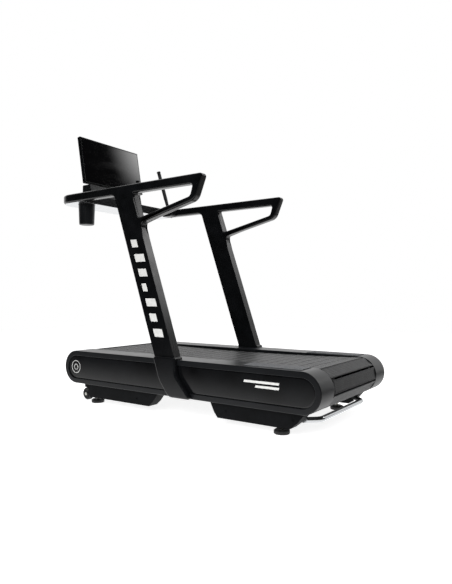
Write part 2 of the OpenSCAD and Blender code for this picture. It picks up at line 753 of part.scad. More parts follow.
// Bar under the walk-on end, for lifting the machine onto its wheels
lift_x = 812;
lift_z = 80;
lift_d = 28;
lift_bend = 50;
lift_turn = 47;
lift_y = 250;
module lift_bar() color("#2a2b2e") on_deck() intersection() {
    union() {
        bar_y(lift_x, lift_z, -lift_y, lift_y, lift_d);
        for (side = [left, right]) on_side(side) translate([lift_x - lift_bend, lift_y, lift_z]) {
            rotate_extrude(angle = lift_turn, $fn = 96) translate([lift_bend, 0]) circle(d = lift_d);
            rotate([0, 0, lift_turn]) translate([lift_bend, 0, 0]) rotate([-90, 0, 0])
                cylinder(d = lift_d, h = 120);
        }
    }
    translate([600, -leg_in, 0]) cube([400, 2 * leg_in, 200]);
}

left_side_rail();
right_side_rail();
cross_members();
left_shroud();
right_shroud();
left_side_panel();
right_side_panel();
foot_grips();
front_left_leg();
front_right_leg();
rear_left_leg();
rear_right_leg();
leg_bolts();
lock_nuts();
wheel_bolts();
lift_bar();
left_boot();
right_boot();
left_upright();
right_upright();
upright_bolts();
left_handrail();
right_handrail();
console_loop();
console_tray();
belly_plate();
bottle_cup();
console_housing();
hinge_ears();
hinge_pin();
lever_housing();
front_bearings();
rear_bearings();
belt_slats();
left_belt();
right_belt();
track_rails();
guide_rollers();
brake_cable();
brake_pin();
front_axle();
front_pulleys();
brake_disc();
rear_axle();
rear_pulleys();
brake_yoke();
left_wheel();
right_wheel();
front_left_pad();
front_right_pad();
rear_left_pad();
rear_right_pad();
front_left_stud();
front_right_stud();
rear_left_stud();
rear_right_stud();
display_case();
display_glass();
lever_shaft();
lever_grip();
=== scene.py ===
"""Curved manual treadmill: its looks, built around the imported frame, and the studio it stands in."""
import logging
import math
from contextlib import contextmanager
from dataclasses import dataclass
from enum import Enum
from itertools import pairwise
from typing import Any, Callable, Iterator

import bmesh
import bpy
from mathutils import Matrix, Vector


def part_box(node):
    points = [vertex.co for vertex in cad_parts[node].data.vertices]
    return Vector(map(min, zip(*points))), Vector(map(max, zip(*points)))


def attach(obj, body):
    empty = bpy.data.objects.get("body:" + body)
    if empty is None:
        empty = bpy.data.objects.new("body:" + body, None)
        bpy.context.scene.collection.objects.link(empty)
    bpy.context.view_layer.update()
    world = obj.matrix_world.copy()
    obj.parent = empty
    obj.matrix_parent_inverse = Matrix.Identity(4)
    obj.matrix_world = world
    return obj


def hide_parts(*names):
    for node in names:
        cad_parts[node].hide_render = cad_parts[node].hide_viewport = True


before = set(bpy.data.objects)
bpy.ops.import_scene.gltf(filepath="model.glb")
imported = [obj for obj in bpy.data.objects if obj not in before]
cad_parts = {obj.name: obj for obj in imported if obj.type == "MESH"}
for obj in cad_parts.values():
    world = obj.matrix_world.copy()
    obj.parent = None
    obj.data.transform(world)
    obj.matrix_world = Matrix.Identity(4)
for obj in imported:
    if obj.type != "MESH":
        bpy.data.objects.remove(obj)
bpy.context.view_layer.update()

log = logging.getLogger("treadmill")

MM = 0.001
# The deck's own middle lies this far along X from the middle of the machine
DECK_X = 43 * MM
# Places closer than this are taken as one
FLAT = 0.0003
# A face turns a given way when its normal's part along it is over this
FACING = 0.9

EdgeRule = Callable[[Vector, Vector], float]
FaceRule = Callable[[Vector, Vector], bool]


# ---------------------------------------------------------------- nodes and colours

def linear(colour: str) -> tuple[float, float, float, float]:
    """Turns an sRGB hex colour to linear light.

    Args:
        colour: six hex digits after a hash, such as "#1b1c1e".

    Returns:
        Red, green, blue and an opaque alpha.
    """
    parts = [int(colour[i:i + 2], 16) / 255 for i in (1, 3, 5)]
    light = [c / 12.92 if c <= 0.04045 else ((c + 0.055) / 1.055) ** 2.4 for c in parts]
    return light[0], light[1], light[2], 1.0


def add(tree: bpy.types.NodeTree, kind: str, inputs: dict[str | int, Any] | None = None,
        **settings: Any) -> bpy.types.Node:
    """Adds a node with its settings, and sets or links its inputs.

    Args:
        tree: the node tree that gets the node.
        kind: the node's type.
        inputs: a value or another node's output for each input, by name or number.
        settings: the node's own properties.

    Returns:
        The new node.
    """
    node = tree.nodes.new(kind)
    for name, value in settings.items():
        setattr(node, name, value)
    for name, value in (inputs or {}).items():
        if isinstance(value, bpy.types.NodeSocket):
            tree.links.new(value, node.inputs[name])
        else:
            node.inputs[name].default_value = value
    return node


def per(size_mm: float) -> float:
    """Gives the texture scale whose features are size_mm across."""
    return 1000 / size_mm


# ---------------------------------------------------------------- finishes

class Grain(Enum):
    """How deep the texture of a moulded surface is, in metres."""
    POLISHED = 0.000004
    SATIN = 0.00002
    SPARK = 0.00006


@dataclass(frozen=True)
class Finish:
    """A surface finish. Subclasses add what their making leaves on the surface."""
    name: str
    colour: str
    roughness: float
    metallic: float = 0.0
    ior: float = 1.5
    specular: float = 0.5

    def material(self) -> bpy.types.Material:
        """Gives this finish's material, made on first use.

        Returns:
            The one material of this name.
        """
        made = bpy.data.materials.get(self.name)
        if made:
            return made
        made = bpy.data.materials.new(self.name)
        made.use_nodes = True
        tree = made.node_tree
        tree.nodes.clear()
        place = add(tree, "ShaderNodeTexCoord").outputs["Object"]
        shader = add(tree, "ShaderNodeBsdfPrincipled", {
            "Base Color": linear(self.colour), "Roughness": self.roughness,
            "Metallic": self.metallic, "IOR": self.ior,
            "Specular IOR Level": self.specular})
        self.dress(tree, shader, place)
        add(tree, "ShaderNodeOutputMaterial", {"Surface": shader.outputs[0]})
        made.diffuse_color = linear(self.colour)
        return made

    def dress(self, tree: bpy.types.NodeTree, shader: bpy.types.Node, place: bpy.types.NodeSocket) -> None:
        """Adds this finish's texture to its shader.

        Args:
            tree: the material's node tree.
            shader: its Principled shader.
            place: where the surface is, in metres.
        """

    def mottle(self, tree: bpy.types.NodeTree, place: bpy.types.NodeSocket, size_mm: float,
               low: float, high: float) -> bpy.types.NodeSocket:
        """Makes a value that wanders slowly over the surface.

        Args:
            tree: the material's node tree.
            place: where the surface is.
            size_mm: how far apart its changes are.
            low: its lowest value.
            high: its highest value.

        Returns:
            The wandering value.
        """
        cloud = add(tree, "ShaderNodeTexNoise", {"Vector": place, "Scale": per(size_mm), "Detail": 3.0})
        return add(tree, "ShaderNodeMapRange", {
            "Value": cloud.outputs[0], "From Min": 0.3, "From Max": 0.7,
            "To Min": low, "To Max": high}).outputs[0]

    def tint(self, tree: bpy.types.NodeTree, shader: bpy.types.Node, amount: bpy.types.NodeSocket,
             other: str) -> None:
        """Lets the base colour wander towards another one.

        Args:
            tree: the material's node tree.
            shader: its Principled shader.
            amount: how much of the other colour shows, 0 to 1.
            other: the other colour.
        """
        mix = add(tree, "ShaderNodeMix", {
            "Factor": amount, 6: linear(self.colour), 7: linear(other)}, data_type="RGBA")
        tree.links.new(mix.outputs[2], shader.inputs["Base Color"])

    def relief(self, tree: bpy.types.NodeTree, shader: bpy.types.Node, height: bpy.types.NodeSocket,
               depth: float) -> None:
        """Raises the surface by a height pattern.

        Args:
            tree: the material's node tree.
            shader: its Principled shader.
            height: the pattern.
            depth: its depth in metres.
        """
        bump = add(tree, "ShaderNodeBump", {"Height": height, "Distance": depth, "Strength": 1.0})
        tree.links.new(bump.outputs[0], shader.inputs["Normal"])


@dataclass(frozen=True)
class PowderCoat(Finish):
    """Baked polyester powder on metal: a satin skin with a faint orange peel."""
    peel_mm: float = 2.5
    peel_depth: float = 0.00003

    def dress(self, tree: bpy.types.NodeTree, shader: bpy.types.Node, place: bpy.types.NodeSocket) -> None:
        """Adds orange peel, and patches that handling has rubbed smoother."""
        peel = add(tree, "ShaderNodeTexNoise", {"Vector": place, "Scale": per(self.peel_mm), "Detail": 1.0})
        self.relief(tree, shader, peel.outputs[0], self.peel_depth)
        rubbed = self.mottle(tree, place, 90, self.roughness - 0.03, self.roughness + 0.04)
        tree.links.new(rubbed, shader.inputs["Roughness"])
        self.tint(tree, shader, self.mottle(tree, place, 60, 0.0, 0.35), "#1a1b1e")


@dataclass(frozen=True)
class MouldedABS(Finish):
    """Injection-moulded ABS: the tool's own texture, with slow flow marks under it."""
    grain: Grain = Grain.SATIN
    grain_mm: float = 1.2

    def dress(self, tree: bpy.types.NodeTree, shader: bpy.types.Node, place: bpy.types.NodeSocket) -> None:
        """Adds the tool's texture, drawn a little coarse so that it shows, and flow marks."""
        pits = add(tree, "ShaderNodeTexNoise", {
            "Vector": place, "Scale": per(self.grain_mm), "Detail": 2.0, "Roughness": 0.6})
        self.relief(tree, shader, pits.outputs[0], self.grain.value)
        flow = self.mottle(tree, place, 140, self.roughness - 0.02, self.roughness + 0.03)
        tree.links.new(flow, shader.inputs["Roughness"])
        self.tint(tree, shader, self.mottle(tree, place, 200, 0.0, 0.3), "#26282b")


@dataclass(frozen=True)
class Rubber(Finish):
    """Moulded rubber: matt, faintly dusty, with a fine pebble."""
    pebble_mm: float = 1.6

    def dress(self, tree: bpy.types.NodeTree, shader: bpy.types.Node, place: bpy.types.NodeSocket) -> None:
        """Adds the pebble and a thin bloom of dust."""
        pebble = add(tree, "ShaderNodeTexVoronoi", {"Vector": place, "Scale": per(self.pebble_mm)})
        self.relief(tree, shader, pebble.outputs["Distance"], 0.00008)
        self.tint(tree, shader, self.mottle(tree, place, 35, 0.0, 0.5), "#3a3b3d")
        shader.inputs["Sheen Weight"].default_value = 0.12
        shader.inputs["Sheen Roughness"].default_value = 0.5


@dataclass(frozen=True)
class DrawnMetal(Finish):
    """Metal with lines along one direction, from brushing, drawing or grinding."""
    metallic: float = 1.0
    line_mm: float = 0.8
    along: tuple[float, float, float] = (1.0, 0.02, 1.0)
    worn: str = "#ffffff"
    depth: float = 0.00001

    def dress(self, tree: bpy.types.NodeTree, shader: bpy.types.Node, place: bpy.types.NodeSocket) -> None:
        """Adds the lines, which also vary the gloss, and slow clouds of tone."""
        stretched = add(tree, "ShaderNodeMapping", {"Vector": place, "Scale": self.along}).outputs[0]
        lines = add(tree, "ShaderNodeTexNoise", {
            "Vector": stretched, "Scale": per(self.line_mm), "Detail": 2.0})
        self.relief(tree, shader, lines.outputs[0], self.depth)
        gloss = add(tree, "ShaderNodeMapRange", {
            "Value": lines.outputs[0], "From Min": 0.3, "From Max": 0.7,
            "To Min": self.roughness - 0.05, "To Max": self.roughness + 0.07})
        tree.links.new(gloss.outputs[0], shader.inputs["Roughness"])
        self.tint(tree, shader, self.mottle(tree, place, 50, 0.0, 0.25), self.worn)


@dataclass(frozen=True)
class ZincPlate(Finish):
    """Bright zinc on steel: pale, a little cloudy, with a warm passivated cast in places."""
    metallic: float = 1.0

    def dress(self, tree: bpy.types.NodeTree, shader: bpy.types.Node, place: bpy.types.NodeSocket) -> None:
        """Adds the cloudy cast and the fine crystal of the plating."""
        self.tint(tree, shader, self.mottle(tree, place, 9, 0.0, 0.7), "#b9b49c")
        crystal = add(tree, "ShaderNodeTexVoronoi", {"Vector": place, "Scale": per(1.0)})
        self.relief(tree, shader, crystal.outputs["Distance"], 0.00001)
        tree.links.new(self.mottle(tree, place, 6, self.roughness - 0.06, self.roughness + 0.1),
                       shader.inputs["Roughness"])


@dataclass(frozen=True)
class CastMetal(Finish):
    """Cast and turned aluminium: a matt skin with small pits."""
    metallic: float = 1.0

    def dress(self, tree: bpy.types.NodeTree, shader: bpy.types.Node, place: bpy.types.NodeSocket) -> None:
        """Adds the sand-like skin of the casting."""
        skin = add(tree, "ShaderNodeTexNoise", {"Vector": place, "Scale": per(1.5), "Detail": 4.0})
        self.relief(tree, shader, skin.outputs[0], 0.0001)
        self.tint(tree, shader, self.mottle(tree, place, 18, 0.0, 0.5), "#8d9093")


@dataclass(frozen=True)
class PolishedGlass(Finish):
    """Toughened black-backed glass: deep, mirror smooth, with a few faint wipe marks."""
    ior: float = 1.52

    def dress(self, tree: bpy.types.NodeTree, shader: bpy.types.Node, place: bpy.types.NodeSocket) -> None:
        """Adds wipe marks in the gloss, and the second surface's reflection as a clear coat."""
        shader.inputs["Coat Weight"].default_value = 1.0
        shader.inputs["Coat Roughness"].default_value = 0.02
        wiped = add(tree, "ShaderNodeMapping", {"Vector": place, "Scale": (1.0, 0.25, 1.0)}).outputs[0]
        tree.links.new(self.mottle(tree, wiped, 45, self.roughness, self.roughness + 0.05),
                       shader.inputs["Roughness"])


@dataclass(frozen=True)
class ScreenInk(Finish):
    """White screen-printed ink: an even matt film that has gone a little thin in places."""

    def dress(self, tree: bpy.types.NodeTree, shader: bpy.types.Node, place: bpy.types.NodeSocket) -> None:
        """Adds the mesh marks of the printing screen."""
        self.tint(tree, shader, self.mottle(tree, place, 12, 0.0, 0.5), "#dcdcd8")
        film = add(tree, "ShaderNodeTexNoise", {"Vector": place, "Scale": per(1.0)})
        self.relief(tree, shader, film.outputs[0], 0.00001)


RAIL_COAT = PowderCoat("satin black powder coat", "#08090a", 0.24)
STEEL_COAT = PowderCoat("black powder coat on folded steel", "#0d0e0f", 0.6, specular=0.1, peel_mm=3.5,
                        peel_depth=0.00005)
FRAME_COAT = PowderCoat("dark grey frame enamel", "#232427", 0.4)
SHROUD_ABS = MouldedABS("satin charcoal ABS", "#121315", 0.32, grain=Grain.SATIN, specular=0.32)
PANEL_ABS = MouldedABS("semi-gloss black ABS", "#050506", 0.16, grain=Grain.POLISHED)
BOOT_ABS = MouldedABS("semi-gloss black ABS cover", "#060607", 0.2, grain=Grain.POLISHED)
CONSOLE_ABS = MouldedABS("spark-textured black ABS", "#0e0f10", 0.34, grain=Grain.SPARK)
BEZEL_ABS = MouldedABS("gloss black ABS", "#050506", 0.12, grain=Grain.POLISHED)
GRIP_RUBBER = Rubber("grey ribbed rubber", "#47494d", 0.55)
TREAD_RUBBER = Rubber("black tread rubber", "#0e0f10", 0.45, specular=0.25)
TYRE_RUBBER = Rubber("black tyre rubber", "#121212", 0.6)
BELT_RUBBER = Rubber("black belt rubber", "#0e0e0e", 0.6)
SOFT_TOUCH = Rubber("soft-touch black overmould", "#101011", 0.45, pebble_mm=1.0)
SLAT_ALU = DrawnMetal("black anodised extruded aluminium", "#141517", 0.36, worn="#242629")
BELLY_ALU = DrawnMetal("brushed clear-anodised aluminium", "#d9dbdd", 0.24, along=(1.0, 0.015, 1.0),
                       worn="#e9eaeb")
GROUND_STEEL = DrawnMetal("ground bearing steel", "#a9abad", 0.22, worn="#c4c6c8")
CHROME = DrawnMetal("chrome plated steel tube", "#cfd1d3", 0.14, line_mm=1.5, worn="#e2e3e4", depth=0.000004)
BRIGHT_ZINC = ZincPlate("bright zinc plate", "#c3c6c6", 0.28)
CAST_ALU = CastMetal("cast aluminium", "#a6a8aa", 0.42)
BLACK_GLASS = PolishedGlass("black toughened glass", "#020203", 0.03)
WHITE_INK = ScreenInk("white screen ink", "#fafaf8", 0.45)
SHEATH = MouldedABS("black cable sheath", "#0b0b0b", 0.4)


# ---------------------------------------------------------------- modelling

def only(obj: bpy.types.Object) -> None:
    """Selects one object alone and makes it active."""
    bpy.ops.object.select_all(action="DESELECT")
    obj.select_set(True)
    bpy.context.view_layer.objects.active = obj


@contextmanager
def editing(obj: bpy.types.Object, mode: str = "FACE") -> Iterator[None]:
    """Opens an object in edit mode for the lines inside the block.

    Args:
        obj: the object.
        mode: what is selected: VERT, EDGE or FACE.

    Yields:
        Nothing.
    """
    only(obj)
    bpy.ops.object.mode_set(mode="EDIT")
    bpy.ops.mesh.select_mode(type=mode)
    yield
    bpy.ops.object.mode_set(mode="OBJECT")


def pick_faces(obj: bpy.types.Object, rule: FaceRule) -> int:
    """Selects the faces that a rule takes, in edit mode.

    Args:
        obj: the object being edited.
        rule: says yes or no from a face's centre and normal.

    Returns:
        How many faces are selected.
    """
    bpy.ops.mesh.select_mode(type="FACE")
    bpy.ops.mesh.select_all(action="DESELECT")
    mesh = bmesh.from_edit_mesh(obj.data)
    mesh.normal_update()
    found = [f for f in mesh.faces if rule(f.calc_center_median(), f.normal)]
    for face in found:
        face.select_set(True)
    bmesh.update_edit_mesh(obj.data)
    return len(found)


def pick_edges(obj: bpy.types.Object, rule: EdgeRule) -> int:
    """Selects the edges for which a rule gives more than nothing, in edit mode.

    Args:
        obj: the object being edited.
        rule: gives a value from an edge's two ends.

    Returns:
        How many edges are selected.
    """
    bpy.ops.mesh.select_mode(type="EDGE")
    bpy.ops.mesh.select_all(action="DESELECT")
    mesh = bmesh.from_edit_mesh(obj.data)
    found = [e for e in mesh.edges if rule(e.verts[0].co, e.verts[1].co) > 0]
    for edge in found:
        edge.select_set(True)
    bmesh.update_edit_mesh(obj.data)
    return len(found)


def started(name: str) -> bpy.types.Object:
    """Takes up the primitive just added, and puts its place into its mesh.

    Args:
        name: the new piece's name.

    Returns:
        The piece, with its object at the origin.
    """
    obj = bpy.context.active_object
    only(obj)
    bpy.ops.object.transform_apply(location=True, rotation=True, scale=True)
    obj.name = name
    return obj


def block(name: str, low: Vector, high: Vector) -> bpy.types.Object:
    """Adds a cube primitive between two corners, to be shaped further.

    Args:
        name: the new piece's name.
        low: its lowest corner.
        high: its highest corner.

    Returns:
        The piece.
    """
    bpy.ops.mesh.primitive_cube_add(size=1, location=(low + high) / 2, scale=high - low)
    return started(name)


def turned(name: str, profile: list[tuple[float, float]], steps: int, matrix: Matrix) -> bpy.types.Object:
    """Builds a turned shape, by extruding and scaling a disc along its axis.

    Args:
        name: the new piece's name.
        profile: (radius, height) pairs in metres from the bottom to the top.
        steps: sides round the axis.
        matrix: where its axis goes.

    Returns:
        The closed piece, in place.
    """
    radius, height = profile[0]
    bpy.ops.mesh.primitive_circle_add(vertices=steps, radius=radius, fill_type="NGON",
                                      location=(0, 0, height))
    obj = started(name)
    with editing(obj):
        bpy.ops.mesh.select_all(action="SELECT")
        for (r0, z0), (r1, z1) in pairwise(profile):
            bpy.ops.mesh.extrude_region_move(TRANSFORM_OT_translate={"value": (0, 0, z1 - z0)})
            if r1 != r0:
                bpy.ops.transform.resize(value=(r1 / r0, r1 / r0, 1), center_override=(0, 0, z1))
        bpy.ops.mesh.select_all(action="SELECT")
        bpy.ops.mesh.normals_make_consistent(inside=False)
    obj.data.transform(matrix)
    return obj


def finish_with(obj: bpy.types.Object, kind: str, **settings: Any) -> None:
    """Adds a modifier and applies it.

    Args:
        obj: the object.
        kind: the modifier's type.
        settings: its properties.
    """
    modifier = obj.modifiers.new(kind.title(), kind)
    for name, value in settings.items():
        setattr(modifier, name, value)
    only(obj)
    bpy.ops.object.modifier_apply(modifier=modifier.name)


def weigh_normals(obj: bpy.types.Object) -> None:
    """Lets each large flat face set the shading at its border, so that it mirrors as a flat face."""
    only(obj)
    bpy.ops.mesh.customdata_custom_splitnormals_clear()
    finish_with(obj, "WEIGHTED_NORMAL", keep_sharp=True)


def smooth(obj: bpy.types.Object, degrees: float = 32) -> None:
    """Shades an object smooth across edges flatter than an angle."""
    only(obj)
    bpy.ops.object.shade_smooth_by_angle(angle=math.radians(degrees))
    weigh_normals(obj)


def ribbed(name: str, low: Vector, high: Vector, ribs: int, slot: float, margin: float,
           depth: float) -> bpy.types.Object:
    """Builds a flat rubber pad with a row of grooves along X cut into its top.

    Args:
        name: the new piece's name.
        low: its lowest corner.
        high: its highest corner.
        ribs: how many ribs lie side by side along Y.
        slot: half the width of a groove.
        margin: how far from the pad's ends the grooves stop.
        depth: how deep the grooves are.

    Returns:
        The pad.
    """
    pitch = (high.y - low.y) / ribs
    ends = (low.x + margin, high.x - margin)
    pad = block(name, low, high)

    def groove(centre: Vector, normal: Vector) -> bool:
        """Tells the top faces between two ribs."""
        step = (centre.y - low.y) / pitch
        line = round(step)
        near = abs(step - line) * pitch < slot - 0.1 * MM
        return normal.z > FACING and ends[0] < centre.x < ends[1] and near and 0 < line < ribs

    with editing(pad):
        for i in range(1, ribs):
            for side in (-1, 1):
                bpy.ops.mesh.select_all(action="SELECT")
                bpy.ops.mesh.bisect(plane_co=(0, low.y + i * pitch + side * slot, 0), plane_no=(0, 1, 0))
        for x in ends:
            bpy.ops.mesh.select_all(action="SELECT")
            bpy.ops.mesh.bisect(plane_co=(x, 0, 0), plane_no=(1, 0, 0))
        pick_faces(pad, groove)
        bpy.ops.mesh.extrude_region_move(TRANSFORM_OT_translate={"value": (0, 0, -depth)})
    finish_with(pad, "BEVEL", width=0.5 * MM, segments=2, limit_method="ANGLE",
                angle_limit=math.radians(50))
    smooth(pad)
    return pad


def round_edges(obj: bpy.types.Object, rule: EdgeRule, segments: int = 4, sharp: float = 24,
                clamp: bool = True) -> None:
    """Rounds each sharp edge by its own radius.

    Args:
        obj: the object.
        rule: gives an edge's radius in metres from its two ends, 0 to leave it.
        segments: steps round each edge.
        sharp: the least angle in degrees between an edge's faces.
        clamp: holds the radius back where neighbouring edges would meet.
    """
    mesh = bmesh.new()
    mesh.from_mesh(obj.data)
    wanted = {}
    for edge in mesh.edges:
        if len(edge.link_faces) == 2 and edge.calc_face_angle(0) > math.radians(sharp):
            wanted[edge.index] = rule(edge.verts[0].co, edge.verts[1].co)
    mesh.free()
    widest = max(wanted.values(), default=0)
    if widest <= 0:
        return
    weights = obj.data.attributes.new("bevel_weight_edge", "FLOAT", "EDGE")
    for index, radius in wanted.items():
        weights.data[index].value = radius / widest
    finish_with(obj, "BEVEL", width=widest, segments=segments, limit_method="WEIGHT",
                use_clamp_overlap=clamp, loop_slide=clamp)
    left = obj.data.attributes.get("bevel_weight_edge")
    if left:
        obj.data.attributes.remove(left)


def cad_copy(node: str, name: str) -> bpy.types.Object:
    """Copies a CAD node's mesh as a clean start for a piece: merged, with flat areas in one face.

    Args:
        node: the CAD node.
        name: the new piece's name.

    Returns:
        The piece.
    """
    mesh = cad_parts[node].data.copy()
    mesh.materials.clear()
    obj = bpy.data.objects.new(name, mesh)
    bpy.context.scene.collection.objects.link(obj)
    only(obj)
    bpy.ops.mesh.customdata_custom_splitnormals_clear()
    with editing(obj, "VERT"):
        bpy.ops.mesh.select_all(action="SELECT")
        bpy.ops.mesh.remove_doubles(threshold=0.00002)
        bpy.ops.mesh.dissolve_limited(angle_limit=math.radians(1.0))
    return obj


def softened(node: str, name: str, radius: float, segments: int = 3, sharp: float = 35) -> bpy.types.Object:
    """Copies a CAD node and rounds all its sharp edges by one radius.

    Args:
        node: the CAD node.
        name: the new piece's name.
        radius: the edges' radius in metres.
        segments: steps round each edge.
        sharp: the least angle in degrees that is rounded.

    Returns:
        The piece.
    """
    obj = cad_copy(node, name)
    finish_with(obj, "BEVEL", width=radius, segments=segments, limit_method="ANGLE",
                angle_limit=math.radians(sharp), use_clamp_overlap=True)
    smooth(obj)
    return obj


def sheet(node: str, name: str, axis: int, level: float) -> bpy.types.Object:
    """Takes one flat face of a CAD node, as a thin sheet to be thickened.

    Args:
        node: the CAD node.
        name: the new piece's name.
        axis: 1 or 2, the axis across the flat face.
        level: where the face lies on that axis.

    Returns:
        The sheet.
    """
    obj = cad_copy(node, name)
    near = 0.0002
    with editing(obj):
        pick_faces(obj, lambda centre, normal: abs(centre[axis] - level) < near and abs(normal[axis]) > 0.99)
        bpy.ops.mesh.select_all(action="INVERT")
        bpy.ops.mesh.delete(type="FACE")
    return obj


def thicken(obj: bpy.types.Object, axis: int, depth: float) -> None:
    """Extrudes a sheet into a solid bar.

    Args:
        obj: the sheet.
        axis: the axis across it.
        depth: how far it is extruded, with its sign.
    """
    with editing(obj):
        bpy.ops.mesh.select_all(action="SELECT")
        move = [0.0, 0.0, 0.0]
        move[axis] = depth
        bpy.ops.mesh.extrude_region_move(TRANSFORM_OT_translate={"value": move})
        bpy.ops.mesh.select_all(action="SELECT")
        bpy.ops.mesh.remove_doubles(threshold=0.00002)
        bpy.ops.mesh.normals_make_consistent(inside=False)


def roll_rims(obj: bpy.types.Object, radius: float, steps: int) -> None:
    """Rounds both flat sides of a bar along Y into its rims, holes too, by insets that rise.

    Args:
        obj: the bar, thinner than wanted by the radius on each side.
        radius: the rims' radius in metres.
        steps: insets on each side.
    """
    ys = [vertex.co.y for vertex in obj.data.vertices]
    for side, level in ((1, max(ys)), (-1, min(ys))):
        with editing(obj):
            pick_faces(obj, lambda centre, normal: normal.y * side > 0.99 and abs(centre.y - level) < 0.0002)
            for i in range(steps):
                now, then = (math.pi / 2 * (i + k) / steps for k in (0, 1))
                bpy.ops.mesh.inset(thickness=radius * (math.cos(now) - math.cos(then)),
                                   depth=radius * (math.sin(then) - math.sin(now)))


def copied(obj: bpy.types.Object, name: str, matrix: Matrix) -> bpy.types.Object:
    """Copies a piece with its own mesh, moved or mirrored.

    Args:
        obj: the piece.
        name: the copy's name.
        matrix: where the copy goes.

    Returns:
        The copy.
    """
    mesh = obj.data.copy()
    mesh.transform(matrix)
    if matrix.determinant() < 0:
        mesh.flip_normals()
    twin = bpy.data.objects.new(name, mesh)
    bpy.context.scene.collection.objects.link(twin)
    if matrix.determinant() < 0 and mesh.has_custom_normals:
        weigh_normals(twin)
    return twin


def joined(name: str, pieces: list[bpy.types.Object]) -> bpy.types.Object:
    """Joins pieces into one.

    Args:
        name: the name of the result.
        pieces: what is joined; the first one is kept.

    Returns:
        The joined piece.
    """
    bpy.ops.object.select_all(action="DESELECT")
    for piece in pieces:
        piece.select_set(True)
    bpy.context.view_layer.objects.active = pieces[0]
    if len(pieces) > 1:
        bpy.ops.object.join()
    pieces[0].name = name
    return pieces[0]


MIRROR = Matrix.Scale(-1, 4, (0, 1, 0))
ALONG_Y = Matrix.Rotation(math.radians(-90), 4, "X")


def dressed(obj: bpy.types.Object, finish: Finish) -> bpy.types.Object:
    """Gives a whole piece one finish, and returns it."""
    obj.data.materials.clear()
    obj.data.materials.append(finish.material())
    return obj


def fitted(obj: bpy.types.Object, body: str, slot: str, *nodes: str) -> bpy.types.Object:
    """Puts a finished piece on its body, in place of its CAD nodes.

    Args:
        obj: the piece.
        body: the CAD body it moves with.
        slot: the record's material slot.
        nodes: the CAD nodes it stands for.

    Returns:
        The piece.
    """
    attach(obj, body)
    if nodes:
        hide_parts(*nodes)
    log.info("%s: %d faces on %s", obj.name, len(obj.data.polygons), body)
    return obj


def kept(finish: Finish, *nodes: str) -> None:
    """Gives CAD nodes whose shape is right their finish.

    Args:
        finish: the finish.
        nodes: the nodes.
    """
    for node in nodes:
        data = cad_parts[node].data
        data.materials.clear()
        data.materials.append(finish.material())
        log.info("%s: kept, %s", node, finish.name)


# ---------------------------------------------------------------- side units

